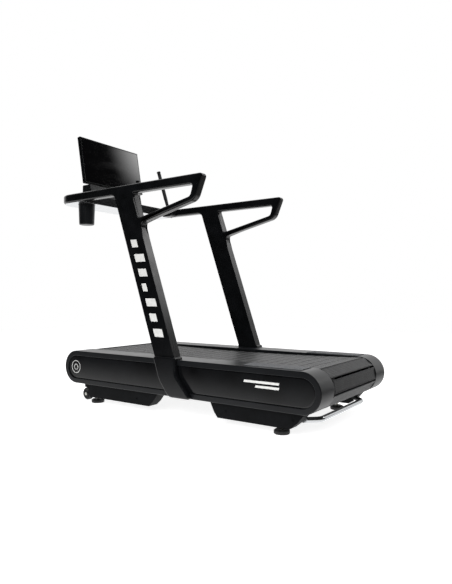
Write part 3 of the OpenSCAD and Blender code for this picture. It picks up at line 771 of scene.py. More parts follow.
@dataclass
class SideUnits:
    """The two long covers beside the belt, with their panels, boots and foot grips."""
    drum_x: float = 789 * MM
    deck_z: float = 227 * MM
    deck_r: float = 101 * MM
    rim_w: float = 30 * MM
    outer_y: float = 435 * MM
    inner_y: float = 288 * MM
    boot_y: float = 462 * MM
    rim_edge: float = 5 * MM
    seat_edge: float = 2.5 * MM
    boot_edge: float = 11 * MM
    badge_r: float = 40 * MM
    ink_t: float = 0.3 * MM

    def reach(self, point: Vector) -> float:
        """Gives how far a point is from the covers' centre line, round their ends too."""
        over = max(abs(point.x - DECK_X) - self.drum_x, 0)
        return math.hypot(over, point.z - self.deck_z)

    def shroud_edge(self, a: Vector, b: Vector) -> float:
        """Gives the radius of one of a shroud's edges: full on the outer rim, small inside it."""
        on_side = all(abs(p.y - self.outer_y) < FLAT for p in (a, b))
        on_inner = all(abs(p.y - self.inner_y) < FLAT for p in (a, b))
        whole = all(abs(self.reach(p) - self.deck_r) < 0.0006 for p in (a, b))
        seat = all(abs(self.reach(p) - self.deck_r + self.rim_w) < 0.0006 for p in (a, b))
        if whole and on_side:
            return self.rim_edge
        if whole and on_inner or seat and on_side:
            return self.seat_edge
        return 0

    def boot_round(self, a: Vector, b: Vector) -> float:
        """Gives the radius of one of a boot's edges: large on its outer face."""
        if all(abs(p.y - self.boot_y) < FLAT for p in (a, b)):
            return self.boot_edge
        return 0

    def shrouds(self) -> None:
        """Builds both shrouds, with rounded rims."""
        right = cad_copy("right_shroud", "right_cover")
        round_edges(right, self.shroud_edge, 4)
        smooth(right)
        left = copied(right, "left_cover", MIRROR)
        for obj, node in ((right, "right_shroud"), (left, "left_shroud")):
            fitted(dressed(obj, SHROUD_ABS), "frame", "shroud_abs", node)

    def panels(self) -> None:
        """Builds both side panels: a shallow raised field inside a soft border."""
        right = cad_copy("right_side_panel", "right_panel")
        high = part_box("right_side_panel")[1]
        with editing(right, "VERT"):
            bpy.ops.mesh.select_all(action="SELECT")
            bpy.ops.mesh.remove_doubles(threshold=3 * MM)
            pick_faces(right, lambda centre, normal: normal.y > FACING and centre.y > high.y - FLAT)
            bpy.ops.mesh.inset(thickness=12 * MM, depth=0)
            bpy.ops.mesh.inset(thickness=3 * MM, depth=0)
            bpy.ops.transform.translate(value=(0, 2 * MM, 0))
        smooth(right, 40)
        left = copied(right, "left_panel", MIRROR)
        for obj, node in ((right, "right_side_panel"), (left, "left_side_panel")):
            fitted(dressed(obj, PANEL_ABS), "frame", "panel_abs", node)

    def boots(self) -> None:
        """Builds the boots that cover the foot of each upright."""
        right = cad_copy("right_boot", "right_boot_cover")
        round_edges(right, self.boot_round, 6)
        smooth(right, 40)
        left = copied(right, "left_boot_cover", MIRROR)
        for obj, node in ((right, "right_boot"), (left, "left_boot")):
            fitted(dressed(obj, BOOT_ABS), "frame", "boot_abs", node)

    def grips(self) -> None:
        """Builds the ribbed rubber pads on the covers, ahead of the walk-on end."""
        low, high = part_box("foot_grips")
        start = Vector((low.x, 300 * MM, low.z))
        end = Vector((high.x, 410 * MM, high.z))
        pad = ribbed("foot_grip", start, end, 10, 1.5 * MM, 8 * MM, 1.6 * MM)
        both = joined("foot_grip_pads", [pad, copied(pad, "foot_grip_left", MIRROR)])
        fitted(dressed(both, GRIP_RUBBER), "frame", "grip_rubber", "foot_grips")

    def marks(self) -> None:
        """Prints the plain marks on the panels: a ring at the front, and two bars at the rear."""
        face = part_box("right_side_panel")[1].y + 2.0 * MM
        front = Vector((DECK_X - self.drum_x - 2 * MM, face, self.deck_z))
        ring = turned("badge", [(self.badge_r, 0), (self.badge_r, self.ink_t)], 64,
                      Matrix.Translation(front) @ ALONG_Y)
        with editing(ring):
            pick_faces(ring, lambda centre, normal: abs(normal.y) > 0.9)
            bpy.ops.mesh.inset(thickness=3.5 * MM)
            bpy.ops.mesh.bridge_edge_loops()
        core = turned("badge_core", [(18 * MM, 0), (18 * MM, self.ink_t)], 48,
                      Matrix.Translation(front) @ ALONG_Y)
        with editing(core):
            pick_faces(core, lambda centre, normal: abs(normal.y) > 0.9)
            bpy.ops.mesh.inset(thickness=3.5 * MM)
            bpy.ops.mesh.bridge_edge_loops()
        bars = []
        for z, x0, x1 in ((256, 470, 668), (234, 536, 668)):
            bar = block("panel_bar", Vector((DECK_X + x0 * MM, face, (z - 6) * MM)),
                        Vector((DECK_X + x1 * MM, face + self.ink_t, (z + 6) * MM)))
            with editing(bar, "VERT"):
                pick_faces(bar, lambda centre, normal: normal.z > FACING)
                bpy.ops.transform.translate(value=(4 * MM, 0, 0))
            bars.append(bar)
        right = joined("right_panel_marks", [ring, core, *bars])
        left = copied(right, "left_panel_marks", MIRROR)
        for obj in (right, left):
            fitted(dressed(obj, WHITE_INK), "frame", "panel_abs")

    def build(self) -> None:
        """Builds the side units."""
        self.shrouds()
        self.panels()
        self.boots()
        self.grips()
        self.marks()


# ---------------------------------------------------------------- running belt

@dataclass
class RunningBelt:
    """The slats round the two drums, and the parts that carry them."""
    drum_x: float = 789 * MM
    deck_z: float = 227 * MM
    dip: float = 12 * MM
    plate_r: float = 88.5 * MM
    plate_t: float = 8 * MM
    width: float = 566 * MM
    count: int = 54
    phase: float = 0.23
    gap: float = 3 * MM
    rib_y: float = 221 * MM
    rib_h: float = 17 * MM
    rib_t: float = 4 * MM
    treads: int = 6

    def __post_init__(self) -> None:
        """Works out the path's lengths from its sizes."""
        self.arc_sum = (self.drum_x ** 2 + self.dip ** 2) / (2 * self.dip)
        self.arc_a = math.asin(self.drum_x / self.arc_sum)
        self.drum_arc = (math.pi + self.arc_a) * self.plate_r
        self.top_arc = 2 * self.arc_a * (self.arc_sum - self.plate_r)
        self.pitch = (2 * self.drum_arc + self.top_arc + 2 * self.drum_x) / self.count

    def on_drum(self, x: float, start: float, distance: float) -> tuple[float, float, float]:
        """Gives the point and heading at a distance round a drum from a start angle."""
        turn = start + distance / self.plate_r
        return (x + self.plate_r * math.cos(turn), self.deck_z + self.plate_r * math.sin(turn),
                turn + math.pi / 2)

    def at(self, distance: float) -> Matrix:
        """Gives the place of a slat on the belt's path.

        Args:
            distance: how far round the path it is, from the bottom of the rear drum.

        Returns:
            Its matrix: X against the travel, Z out of the belt.
        """
        on_top = distance - self.drum_arc
        on_front = on_top - self.top_arc
        below = on_front - self.drum_arc
        if on_top < 0:
            x, z, turn = self.on_drum(self.drum_x, -math.pi / 2, distance)
        elif on_front < 0:
            radius = self.arc_sum - self.plate_r
            angle = self.arc_a - on_top / radius
            x = radius * math.sin(angle)
            z = self.deck_z + self.arc_sum - self.dip - radius * math.cos(angle)
            turn = angle + math.pi
        elif below < 0:
            x, z, turn = self.on_drum(-self.drum_x, math.pi / 2 - self.arc_a, on_front)
        else:
            x, z, turn = -self.drum_x + below, self.deck_z - self.plate_r, 0
        return (Matrix.Translation((x + DECK_X, 0, z)) @ Matrix.Rotation(math.pi - turn, 4, "Y"))

    def slat(self) -> bpy.types.Object:
        """Builds one slat: an extruded plate with a ribbed tread, two webs and its screws.

        Returns:
            The slat, lying at the origin with its tread up.
        """
        half = (self.pitch - self.gap) / 2
        top = self.plate_t
        plate = block("slat", Vector((-half, -self.width / 2, 0)), Vector((half, self.width / 2, top)))
        field = half - 6 * MM
        step = 2 * field / self.treads
        end = self.width / 2 - 16 * MM
        with editing(plate):
            pick_edges(plate, lambda a, b: float(min(a.z, b.z) > top - MM and abs(a.x - b.x) < MM))
            bpy.ops.mesh.bevel(offset=2.4 * MM, segments=3, affect="EDGES")
            for i in range(self.treads + 1):
                for side in (-1, 1):
                    bpy.ops.mesh.select_all(action="SELECT")
                    bpy.ops.mesh.bisect(plane_co=(-field + i * step + side * 0.8 * MM, 0, 0),
                                        plane_no=(1, 0, 0))
            for y in (-end, end):
                bpy.ops.mesh.select_all(action="SELECT")
                bpy.ops.mesh.bisect(plane_co=(0, y, 0), plane_no=(0, 1, 0))

            def groove(centre: Vector, normal: Vector) -> bool:
                """Tells the narrow top faces between two treads."""
                place = (centre.x + field) / step
                return normal.z > 0.99 and abs(centre.y) < end and abs(place - round(place)) * step < 0.8 * MM
            pick_faces(plate, groove)
            bpy.ops.mesh.extrude_region_move(TRANSFORM_OT_translate={"value": (0, 0, -1.2 * MM)})
        plate.data.materials.append(SLAT_ALU.material())
        plate.data.materials.append(TREAD_RUBBER.material())
        for face in plate.data.polygons:
            if abs(face.center.y) < end and abs(face.center.x) < field and face.center.z > top - 1.5 * MM:
                face.material_index = 1
        parts = [plate]
        for x in (-half / 2, half / 2):
            web = block("web", Vector((x - self.rib_t / 2, -self.rib_y, -self.rib_h)),
                        Vector((x + self.rib_t / 2, self.rib_y, 0)))
            with editing(web):
                pick_faces(web, lambda centre, normal: normal.z < -FACING)
                bpy.ops.mesh.inset(thickness=1.2 * MM, depth=0)
            parts.append(dressed(web, SLAT_ALU))
        for x in (-half / 2, half / 2):
            for y in (-1, 1):
                place = Matrix.Translation((x, y * (end + 8 * MM), top - 1.5 * MM))
                screw = turned("screw", [(3.4 * MM, 0), (3.4 * MM, 0.7 * MM), (2.4 * MM, 1.4 * MM),
                                         (1.4 * MM, 1.4 * MM), (1.2 * MM, 0.5 * MM)], 8, place)
                parts.append(dressed(screw, BRIGHT_ZINC))
        return joined("slat", parts)

    def build(self) -> None:
        """Builds the slats, and finishes the parts of the belt that stay as they are."""
        first = self.slat()
        slats = [copied(first, f"slat_{i}", self.at((i + self.phase) * self.pitch))
                 for i in range(self.count)]
        bpy.data.objects.remove(first)
        belt = joined("belt_of_slats", slats)
        smooth(belt, 40)
        fitted(belt, "frame", "slat_aluminium", "belt_slats")
        kept(BELT_RUBBER, "left_belt", "right_belt")
        kept(GROUND_STEEL, "guide_rollers", "front_bearings", "rear_bearings", "front_axle", "rear_axle")
        kept(FRAME_COAT, "track_rails", "left_side_rail", "right_side_rail", "cross_members", "brake_yoke")
        kept(CAST_ALU, "front_pulleys", "rear_pulleys", "brake_disc")
        kept(BRIGHT_ZINC, "brake_pin", "upright_bolts", "hinge_pin")
        kept(SHEATH, "brake_cable")


# ---------------------------------------------------------------- uprights and hand rails

@dataclass
class RailFrame:
    """The leaning uprights, the looped hand rails on them and the front loop."""
    outer_y: float = 448 * MM
    thick: float = 56 * MM
    top_z: float = 1321 * MM
    rail_h: float = 52 * MM
    seam_z: float = 1060 * MM
    nose_l: float = 60 * MM
    heel_edge: float = 11 * MM
    rim: float = 13.5 * MM
    column_top: float = 1285 * MM
    ease_low: float = 1100 * MM
    ease_high: float = 1215 * MM
    lean: float = math.radians(19.2)
    upright_w: float = 142 * MM
    upright_x: float = -36.5 * MM
    upright_ref_z: float = 345 * MM
    join_x: float = -700 * MM
    ink_t: float = 0.3 * MM

    def front_x(self, z: float) -> float:
        """Gives where the front edge of an upright is at a height."""
        return DECK_X + self.upright_x - self.upright_w / 2 - math.tan(self.lean) * (z - self.upright_ref_z)

    def in_side_plane(self, a: Vector, b: Vector) -> bool:
        """Tells whether an edge lies in one of the two flat sides of an upright or hand rail."""
        return abs(a.y - b.y) < FLAT and min(abs(a.y - self.outer_y),
                                               abs(a.y - self.outer_y + self.thick)) < FLAT

    def eased(self, z: float) -> float:
        """Gives how far a height is through the change from upright to rail, 0 to 1."""
        part = min(max((z - self.ease_low) / (self.ease_high - self.ease_low), 0), 1)
        return part * part * (3 - 2 * part)

    def upright_round(self, a: Vector, b: Vector) -> float:
        """Gives the radius of one of an upright's long edges: a full nose and a tighter heel."""
        middle = (a + b) / 2
        if not self.in_side_plane(a, b) or abs(a.z - b.z) < 20 * MM or middle.z < 240 * MM:
            return 0
        in_front = middle.x < self.front_x(middle.z) + self.upright_w / 2
        return self.thick / 2 if in_front else self.heel_edge

    def stretch_nose(self, obj: bpy.types.Object) -> None:
        """Draws the round front of an upright out into a long ellipse."""
        reach = self.thick / 2 / math.cos(self.lean)
        for vertex in obj.data.vertices:
            behind = vertex.co.x - self.front_x(vertex.co.z)
            if -MM < behind < reach + 0.3 * MM:
                vertex.co.x += behind * (self.nose_l / reach - 1)

    def draw_back(self, obj: bpy.types.Object) -> None:
        """Draws the front of a hand rail's root back into the upright's nose, easing off below the rail."""
        for vertex in obj.data.vertices:
            z = vertex.co.z
            if z < self.ease_high and vertex.co.x - self.front_x(z) < self.rim + MM:
                vertex.co.x += (self.nose_l - self.rim) * (1 - self.eased(z))

    def loop_round(self, a: Vector, b: Vector) -> float:
        """Gives the radius of one of the front loop's edges."""
        flat = abs(a.z - b.z) < FLAT and min(abs(a.z - self.top_z),
                                               abs(a.z - self.top_z + self.rail_h)) < FLAT
        end = abs(a.x - b.x) < FLAT and abs(a.x - self.join_x - DECK_X) < MM
        return self.rim if flat and not end else 0

    def column(self) -> bpy.types.Object:
        """Builds one upright, from its foot to inside the hand rail, with its long nose."""
        obj = sheet("right_upright", "column", 1, self.outer_y)
        rise = self.column_top - self.seam_z
        thicken(obj, 1, -self.thick)
        with editing(obj, "VERT"):
            pick_faces(obj, lambda centre, normal: normal.z > FACING and centre.z > self.seam_z - MM)
            bpy.ops.transform.translate(value=(-math.tan(self.lean) * rise, 0, rise))
            bpy.ops.transform.resize(value=(1, 0.978, 1),
                                     center_override=(0, self.outer_y - self.thick / 2, 0))
        round_edges(obj, self.upright_round, 12, clamp=False)
        self.stretch_nose(obj)
        return obj

    def hand_loop(self) -> bpy.types.Object:
        """Builds one looped hand rail with rolled rims, its two roots run on into what carries them."""
        obj = sheet("right_handrail", "hand_loop", 1, self.outer_y)
        root = self.rim
        with editing(obj, "VERT"):
            pick_edges(obj, lambda a, b: float(max(a.z, b.z) < self.seam_z + MM))
            bpy.ops.transform.translate(value=(math.tan(self.lean) * root, 0, -root))
            pick_edges(obj, lambda a, b: float(max(a.x, b.x) < self.join_x + DECK_X + MM))
            bpy.ops.transform.translate(value=(-root, 0, 0))
            bpy.ops.mesh.select_all(action="SELECT")
            bpy.ops.transform.translate(value=(0, -self.rim, 0))
        thicken(obj, 1, -(self.thick - 2 * self.rim))
        roll_rims(obj, self.rim, 7)
        self.draw_back(obj)
        return obj

    def rails(self) -> None:
        """Builds both sides: an upright and its hand rail, cast as one."""
        right = joined("right_rail_side", [self.column(), self.hand_loop()])
        smooth(right)
        left = copied(right, "left_rail_side", MIRROR)
        for side, obj in (("right", right), ("left", left)):
            fitted(dressed(obj, RAIL_COAT), "frame", "rail_aluminium", f"{side}_upright", f"{side}_handrail")

    def front_loop(self) -> None:
        """Builds the loop that carries the console."""
        loop = sheet("console_loop", "console_front_loop", 2, self.top_z)
        thicken(loop, 2, -self.rail_h)
        round_edges(loop, self.loop_round, 12, clamp=False)
        smooth(loop, 38)
        fitted(dressed(loop, RAIL_COAT), "frame", "rail_aluminium", "console_loop")

    def marks(self) -> None:
        """Prints a plain column of slanted bars on the outer face of each upright."""
        bars = []
        rows = (46, 74, 62, 34, 74, 50, 66)
        for i, length in enumerate(rows):
            z = (974 - i * 84) * MM
            x0 = self.front_x(z) + 48 * MM
            bar = block("column_bar", Vector((x0, self.outer_y, z - 22 * MM)),
                        Vector((x0 + length * MM, self.outer_y + self.ink_t, z + 22 * MM)))
            with editing(bar):
                pick_faces(bar, lambda centre, normal: normal.z > FACING)
                bpy.ops.transform.translate(value=(-math.tan(self.lean) * 44 * MM, 0, 0))
            bars.append(bar)
        right = joined("right_column_marks", bars)
        left = copied(right, "left_column_marks", MIRROR)
        for obj in (right, left):
            fitted(dressed(obj, WHITE_INK), "frame", "rail_aluminium")

    def build(self) -> None:
        """Builds the rail frame."""
        self.rails()
        self.front_loop()
        self.marks()


# ---------------------------------------------------------------- console

@dataclass
class Console:
    """The tray, bottle cup, display and resistance lever inside the front loop."""
    cup_wall: float = 3 * MM
    cup_taper: float = 6 * MM
    lever_lean: float = math.radians(18.6)
    lever_at: tuple[float, float, float] = (-660.5 * MM, 360 * MM, 1290 * MM)
    lever_l: float = 340 * MM
    display_lean: float = math.radians(10.2)
    display_at: tuple[float, float, float] = (-850 * MM, 0.0, 1435 * MM)
    display_t: float = 26 * MM

    def on_lever(self) -> Matrix:
        """Gives the lever's frame: Z along it from its pivot."""
        return Matrix.Translation(self.lever_at) @ Matrix.Rotation(-self.lever_lean, 4, "Y")

    def on_display(self) -> Matrix:
        """Gives the display's frame: X out of the glass, Z up it."""
        return Matrix.Translation(self.display_at) @ Matrix.Rotation(-self.display_lean, 4, "Y")

    def tray(self) -> None:
        """Builds the tray, with a ribbed mat in its storage well, and the plate under it."""
        tray = softened("console_tray", "storage_tray", 1.5 * MM)
        fitted(dressed(tray, CONSOLE_ABS), "frame", "console_abs", "console_tray")
        plate = softened("belly_plate", "belly_sheet", 0.8 * MM, 2)
        fitted(dressed(plate, BELLY_ALU), "frame", "belly_aluminium", "belly_plate")
        housing = softened("console_housing", "display_mount", 4 * MM, 4)
        fitted(dressed(housing, CONSOLE_ABS), "frame", "console_abs", "console_housing")
        self.mat()

    def mat(self) -> None:
        """Builds the rubber mat in the storage well."""
        low = Vector((DECK_X - 853 * MM, -186 * MM, 1297.2 * MM))
        high = Vector((DECK_X - 763 * MM, 186 * MM, 1300 * MM))
        mat = ribbed("tray_mat", low, high, 15, 2 * MM, 6 * MM, 1.5 * MM)
        fitted(dressed(mat, SOFT_TOUCH), "frame", "console_abs")

    def cup(self) -> None:
        """Builds the bottle cup: a deep turned shell with a rolled lip and a rounded floor."""
        low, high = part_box("bottle_cup")
        lip = (high.x - low.x) / 2
        outer = lip - 4 * MM
        inner = outer - self.cup_wall
        height = high.z - low.z
        place = Matrix.Translation(((low.x + high.x) / 2, (low.y + high.y) / 2, low.z))
        foot = outer - self.cup_taper
        well = inner - self.cup_taper
        profile = [(foot - 9 * MM, 0), (foot - 4 * MM, 1.2 * MM), (foot - 1.2 * MM, 4 * MM),
                   (foot, 9 * MM), (outer, height - 3 * MM), (lip - 0.6 * MM, height - 3 * MM),
                   (lip, height - 2.2 * MM), (lip, height - 0.9 * MM), (lip - 1.5 * MM, height),
                   (inner + 1.5 * MM, height), (inner, height - 1.5 * MM), (well, 12 * MM),
                   (well - 1.5 * MM, 7 * MM), (well - 6 * MM, 4 * MM), (well - 14 * MM, 4 * MM),
                   (well - 15 * MM, 4.8 * MM), (well - 19 * MM, 4.8 * MM), (well - 20 * MM, 4 * MM)]
        cup = turned("cup_shell", profile, 72, place)
        smooth(cup, 35)
        fitted(dressed(cup, CONSOLE_ABS), "frame", "console_abs", "bottle_cup")

    def display(self) -> None:
        """Builds the display: its case with a vented back, its glass and its hinge."""
        case = softened("display_case", "display_shell", 1.6 * MM, 3, 50)
        fitted(dressed(case, BEZEL_ABS), "display", "display_abs", "display_case")
        glass = softened("display_glass", "display_front_glass", 0.6 * MM, 2, 50)
        fitted(dressed(glass, BLACK_GLASS), "display", "display_glass", "display_glass")
        ears = softened("hinge_ears", "hinge_cheeks", 1.2 * MM, 2)
        fitted(dressed(ears, FRAME_COAT), "frame", "frame_steel", "hinge_ears")
        self.vents()

    def vents(self) -> None:
        """Builds the two rows of cooling louvres on the back of the display."""
        louvres = []
        for row in (0, 1):
            for i in range(14):
                y = (-195 + i * 30) * MM
                z = (250 + row * 30) * MM
                bar = block("louvre", Vector((-self.display_t - 1.4 * MM, y, z)),
                            Vector((-self.display_t + 0.4 * MM, y + 22 * MM, z + 20 * MM)))
                with editing(bar):
                    pick_faces(bar, lambda centre, normal: normal.x < -FACING)
                    bpy.ops.transform.resize(value=(1, 0.86, 0.5),
                                             center_override=(0, y + 11 * MM, z + 4 * MM))
                louvres.append(bar)
        rows = joined("display_louvres", louvres)
        finish_with(rows, "BEVEL", width=0.5 * MM, segments=2)
        rows.data.transform(self.on_display())
        smooth(rows)
        fitted(dressed(rows, BEZEL_ABS), "display", "display_abs")

    def lever(self) -> None:
        """Builds the resistance lever: its housing, shaft and ribbed grip."""
        housing = softened("lever_housing", "lever_box", 2.5 * MM, 3)
        fitted(dressed(housing, CONSOLE_ABS), "frame", "console_abs", "lever_housing")
        frame_of_lever = self.on_lever()
        end = self.lever_l
        shaft = turned("shaft", [(6 * MM, 0), (7 * MM, 1 * MM), (7 * MM, 40 * MM), (9 * MM, 41 * MM),
                                 (9 * MM, 46 * MM), (7 * MM, 47 * MM), (7 * MM, end - 20 * MM)], 32,
                       frame_of_lever)
        boss = turned("boss", [(7 * MM, -12 * MM), (8 * MM, -11 * MM), (8 * MM, 11 * MM), (7 * MM, 12 * MM)],
                      32, Matrix.Translation(self.lever_at) @ ALONG_Y)
        pin = turned("pin", [(3.4 * MM, -23.9 * MM), (3.9 * MM, -23 * MM), (3.9 * MM, 23 * MM),
                             (3.4 * MM, 23.9 * MM)], 24, Matrix.Translation(self.lever_at) @ ALONG_Y)
        rod = joined("lever_rod", [shaft, boss, pin])
        smooth(rod)
        fitted(dressed(rod, BRIGHT_ZINC), "lever", "zinc_steel", "lever_shaft")
        profile = [(8 * MM, 62 * MM), (10.6 * MM, 62.6 * MM), (11 * MM, 64 * MM), (12.8 * MM, 108 * MM)]
        z = 112 * MM
        while z < end - 26 * MM:
            profile += [(12.6 * MM, z), (13.5 * MM, z + 1.5 * MM), (13.5 * MM, z + 6.5 * MM),
                        (12.6 * MM, z + 8 * MM)]
            z += 10 * MM
        profile += [(12.8 * MM, end - 12 * MM), (15 * MM, end - 8 * MM), (15 * MM, end - 3 * MM),
                    (13.5 * MM, end - 0.8 * MM), (10 * MM, end)]
        grip = turned("grip_sleeve", profile, 36, frame_of_lever)
        smooth(grip, 40)
        fitted(dressed(grip, SOFT_TOUCH), "lever", "grip_plastic", "lever_grip")

    def build(self) -> None:
        """Builds the console."""
        self.tray()
        self.cup()
        self.display()
        self.lever()


# ---------------------------------------------------------------- legs, feet and wheels

@dataclass
class Undercarriage:
    """The folded legs, levelling feet, transport wheels, bolts and the lift bar."""
    thread_pitch: float = 2.0 * MM
    spokes: int = 5

    def centre(self, node: str) -> Vector:
        """Gives the middle of a CAD node's box."""
        low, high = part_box(node)
        return (low + high) / 2

    def legs(self) -> None:
        """Builds the four folded-steel legs."""
        for end in ("front", "rear"):
            right = softened(f"{end}_right_leg", f"{end}_right_outrigger", 3 * MM, 3)
            left = copied(right, f"{end}_left_outrigger", MIRROR)
            for obj, node in ((right, f"{end}_right_leg"), (left, f"{end}_left_leg")):
                fitted(dressed(obj, STEEL_COAT), "frame", "leg_steel", node)

    def feet(self) -> None:
        """Builds the levelling feet: ribbed rubber pads on threaded studs, with lock nuts."""
        for end in ("front", "rear"):
            for side in ("left", "right"):
                name = f"{end}_{side}"
                low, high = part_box(f"{name}_pad")
                middle = self.centre(f"{name}_pad")
                radius = (high.x - low.x) / 2
                height = high.z - low.z
                place = Matrix.Translation((middle.x, middle.y, low.z))
                pad = turned(f"{name}_foot_pad", [
                    (radius - 5 * MM, 0), (radius - 2 * MM, 0.6 * MM), (radius - 2 * MM, 3 * MM),
                    (radius, 4 * MM), (radius, 7 * MM), (radius - 1.2 * MM, 8 * MM),
                    (radius - 1.2 * MM, 9 * MM), (radius, 10 * MM), (radius, 13 * MM),
                    (radius - 1.2 * MM, 14 * MM), (radius - 1.2 * MM, 15 * MM), (radius, 16 * MM),
                    (radius - 1 * MM, 18 * MM), (radius - 9 * MM, height - 0.6 * MM),
                    (radius - 11 * MM, height), (9 * MM, height)], 48, place)
                smooth(pad, 40)
                fitted(dressed(pad, TYRE_RUBBER), f"{name}_foot", "pad_rubber", f"{name}_pad")
                self.stud(name)
        nuts = softened("lock_nuts", "foot_lock_nuts", 0.8 * MM, 2, 25)
        fitted(dressed(nuts, BRIGHT_ZINC), "frame", "zinc_steel", "lock_nuts")

    def stud(self, name: str) -> None:
        """Builds one threaded stud, with a hexagon collar on its pad.

        Args:
            name: which foot, such as front_left.
        """
        low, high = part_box(f"{name}_stud")
        middle = self.centre(f"{name}_stud")
        radius = (high.x - low.x) / 2
        height = high.z - low.z
        profile = [(radius - 1 * MM, 0)]
        z = 0.6 * MM
        while z < height - 1.5 * self.thread_pitch:
            profile += [(radius - 1.0 * MM, z), (radius, z + 0.4 * self.thread_pitch),
                        (radius, z + 0.6 * self.thread_pitch)]
            z += self.thread_pitch
        profile += [(radius - 1 * MM, z), (radius - 1.4 * MM, height)]
        stud = turned(f"{name}_thread", profile, 20, Matrix.Translation((middle.x, middle.y, low.z)))
        smooth(stud, 20)
        fitted(dressed(stud, BRIGHT_ZINC), f"{name}_foot", "zinc_steel", f"{name}_stud")

    def wheels(self) -> None:
        """Builds the transport wheels: a grooved tyre on a dished hub with spokes."""
        low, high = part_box("right_wheel")
        middle = self.centre("right_wheel")
        radius = (high.z - low.z) / 2
        width = high.y - low.y
        axis = Matrix.Translation((middle.x, low.y, middle.z)) @ ALONG_Y
        bore = 5.1 * MM
        profile = [(bore, 0), (radius - 8 * MM, 0), (radius - 2 * MM, 0.8 * MM), (radius, 3 * MM)]
        for i in range(3):
            start = (5.5 + i * 6) * MM
            profile += [(radius, start), (radius - 1.2 * MM, start + 0.5 * MM),
                        (radius - 1.2 * MM, start + 1.7 * MM), (radius, start + 2.2 * MM)]
        profile += [(radius, width - 3 * MM), (radius - 2 * MM, width - 0.8 * MM),
                    (radius - 6 * MM, width), (radius - 9 * MM, width - 0.5 * MM),
                    (radius - 10 * MM, width - 5 * MM), (13 * MM, width - 6 * MM),
                    (12 * MM, width - 1 * MM), (11 * MM, width), (bore, width)]
        wheel = turned("wheel", profile, 60, axis)
        with editing(wheel):
            pick_faces(wheel, lambda centre, normal: abs(normal.y) > 0.95 and math.hypot(
                centre.x - middle.x, centre.z - middle.z) < bore * 0.7)
            bpy.ops.mesh.bridge_edge_loops()
            bpy.ops.mesh.select_all(action="SELECT")
            bpy.ops.mesh.normals_make_consistent(inside=False)
        spokes = []
        for i in range(self.spokes):
            turn = Matrix.Rotation(math.tau * i / self.spokes, 4, "Y")
            spoke = block("spoke", Vector((12 * MM, width / 2 - 6.5 * MM, -2 * MM)),
                          Vector((radius - 9 * MM, width / 2 - 2 * MM, 2 * MM)))
            with editing(spoke):
                pick_faces(spoke, lambda centre, normal: normal.y > FACING)
                bpy.ops.transform.resize(value=(1, 1, 0.6), center_override=(0, 0, 0))
            spoke.data.transform(Matrix.Translation(middle) @ turn)
            spokes.append(spoke)
        right = joined("right_roller_wheel", [wheel, *spokes])
        smooth(right, 35)
        left = copied(right, "left_roller_wheel", MIRROR)
        for side, obj in (("right", right), ("left", left)):
            fitted(dressed(obj, TYRE_RUBBER), f"{side}_transport_wheel", "wheel_rubber", f"{side}_wheel")

    def bolts(self) -> None:
        """Builds the visible fasteners."""
        screws = softened("leg_bolts", "leg_fasteners", 0.7 * MM, 2)
        fitted(dressed(screws, STEEL_COAT), "frame", "leg_steel", "leg_bolts")
        axles = softened("wheel_bolts", "wheel_axles", 1.0 * MM, 2)
        fitted(dressed(axles, BRIGHT_ZINC), "frame", "zinc_steel", "wheel_bolts")

    def lift(self) -> None:
        """Finishes the lift bar, a bent chromed tube."""
        kept(CHROME, "lift_bar")

    def build(self) -> None:
        """Builds the undercarriage."""
        self.legs()
        self.feet()
        self.wheels()
        self.bolts()
        self.lift()


# ---------------------------------------------------------------- studio

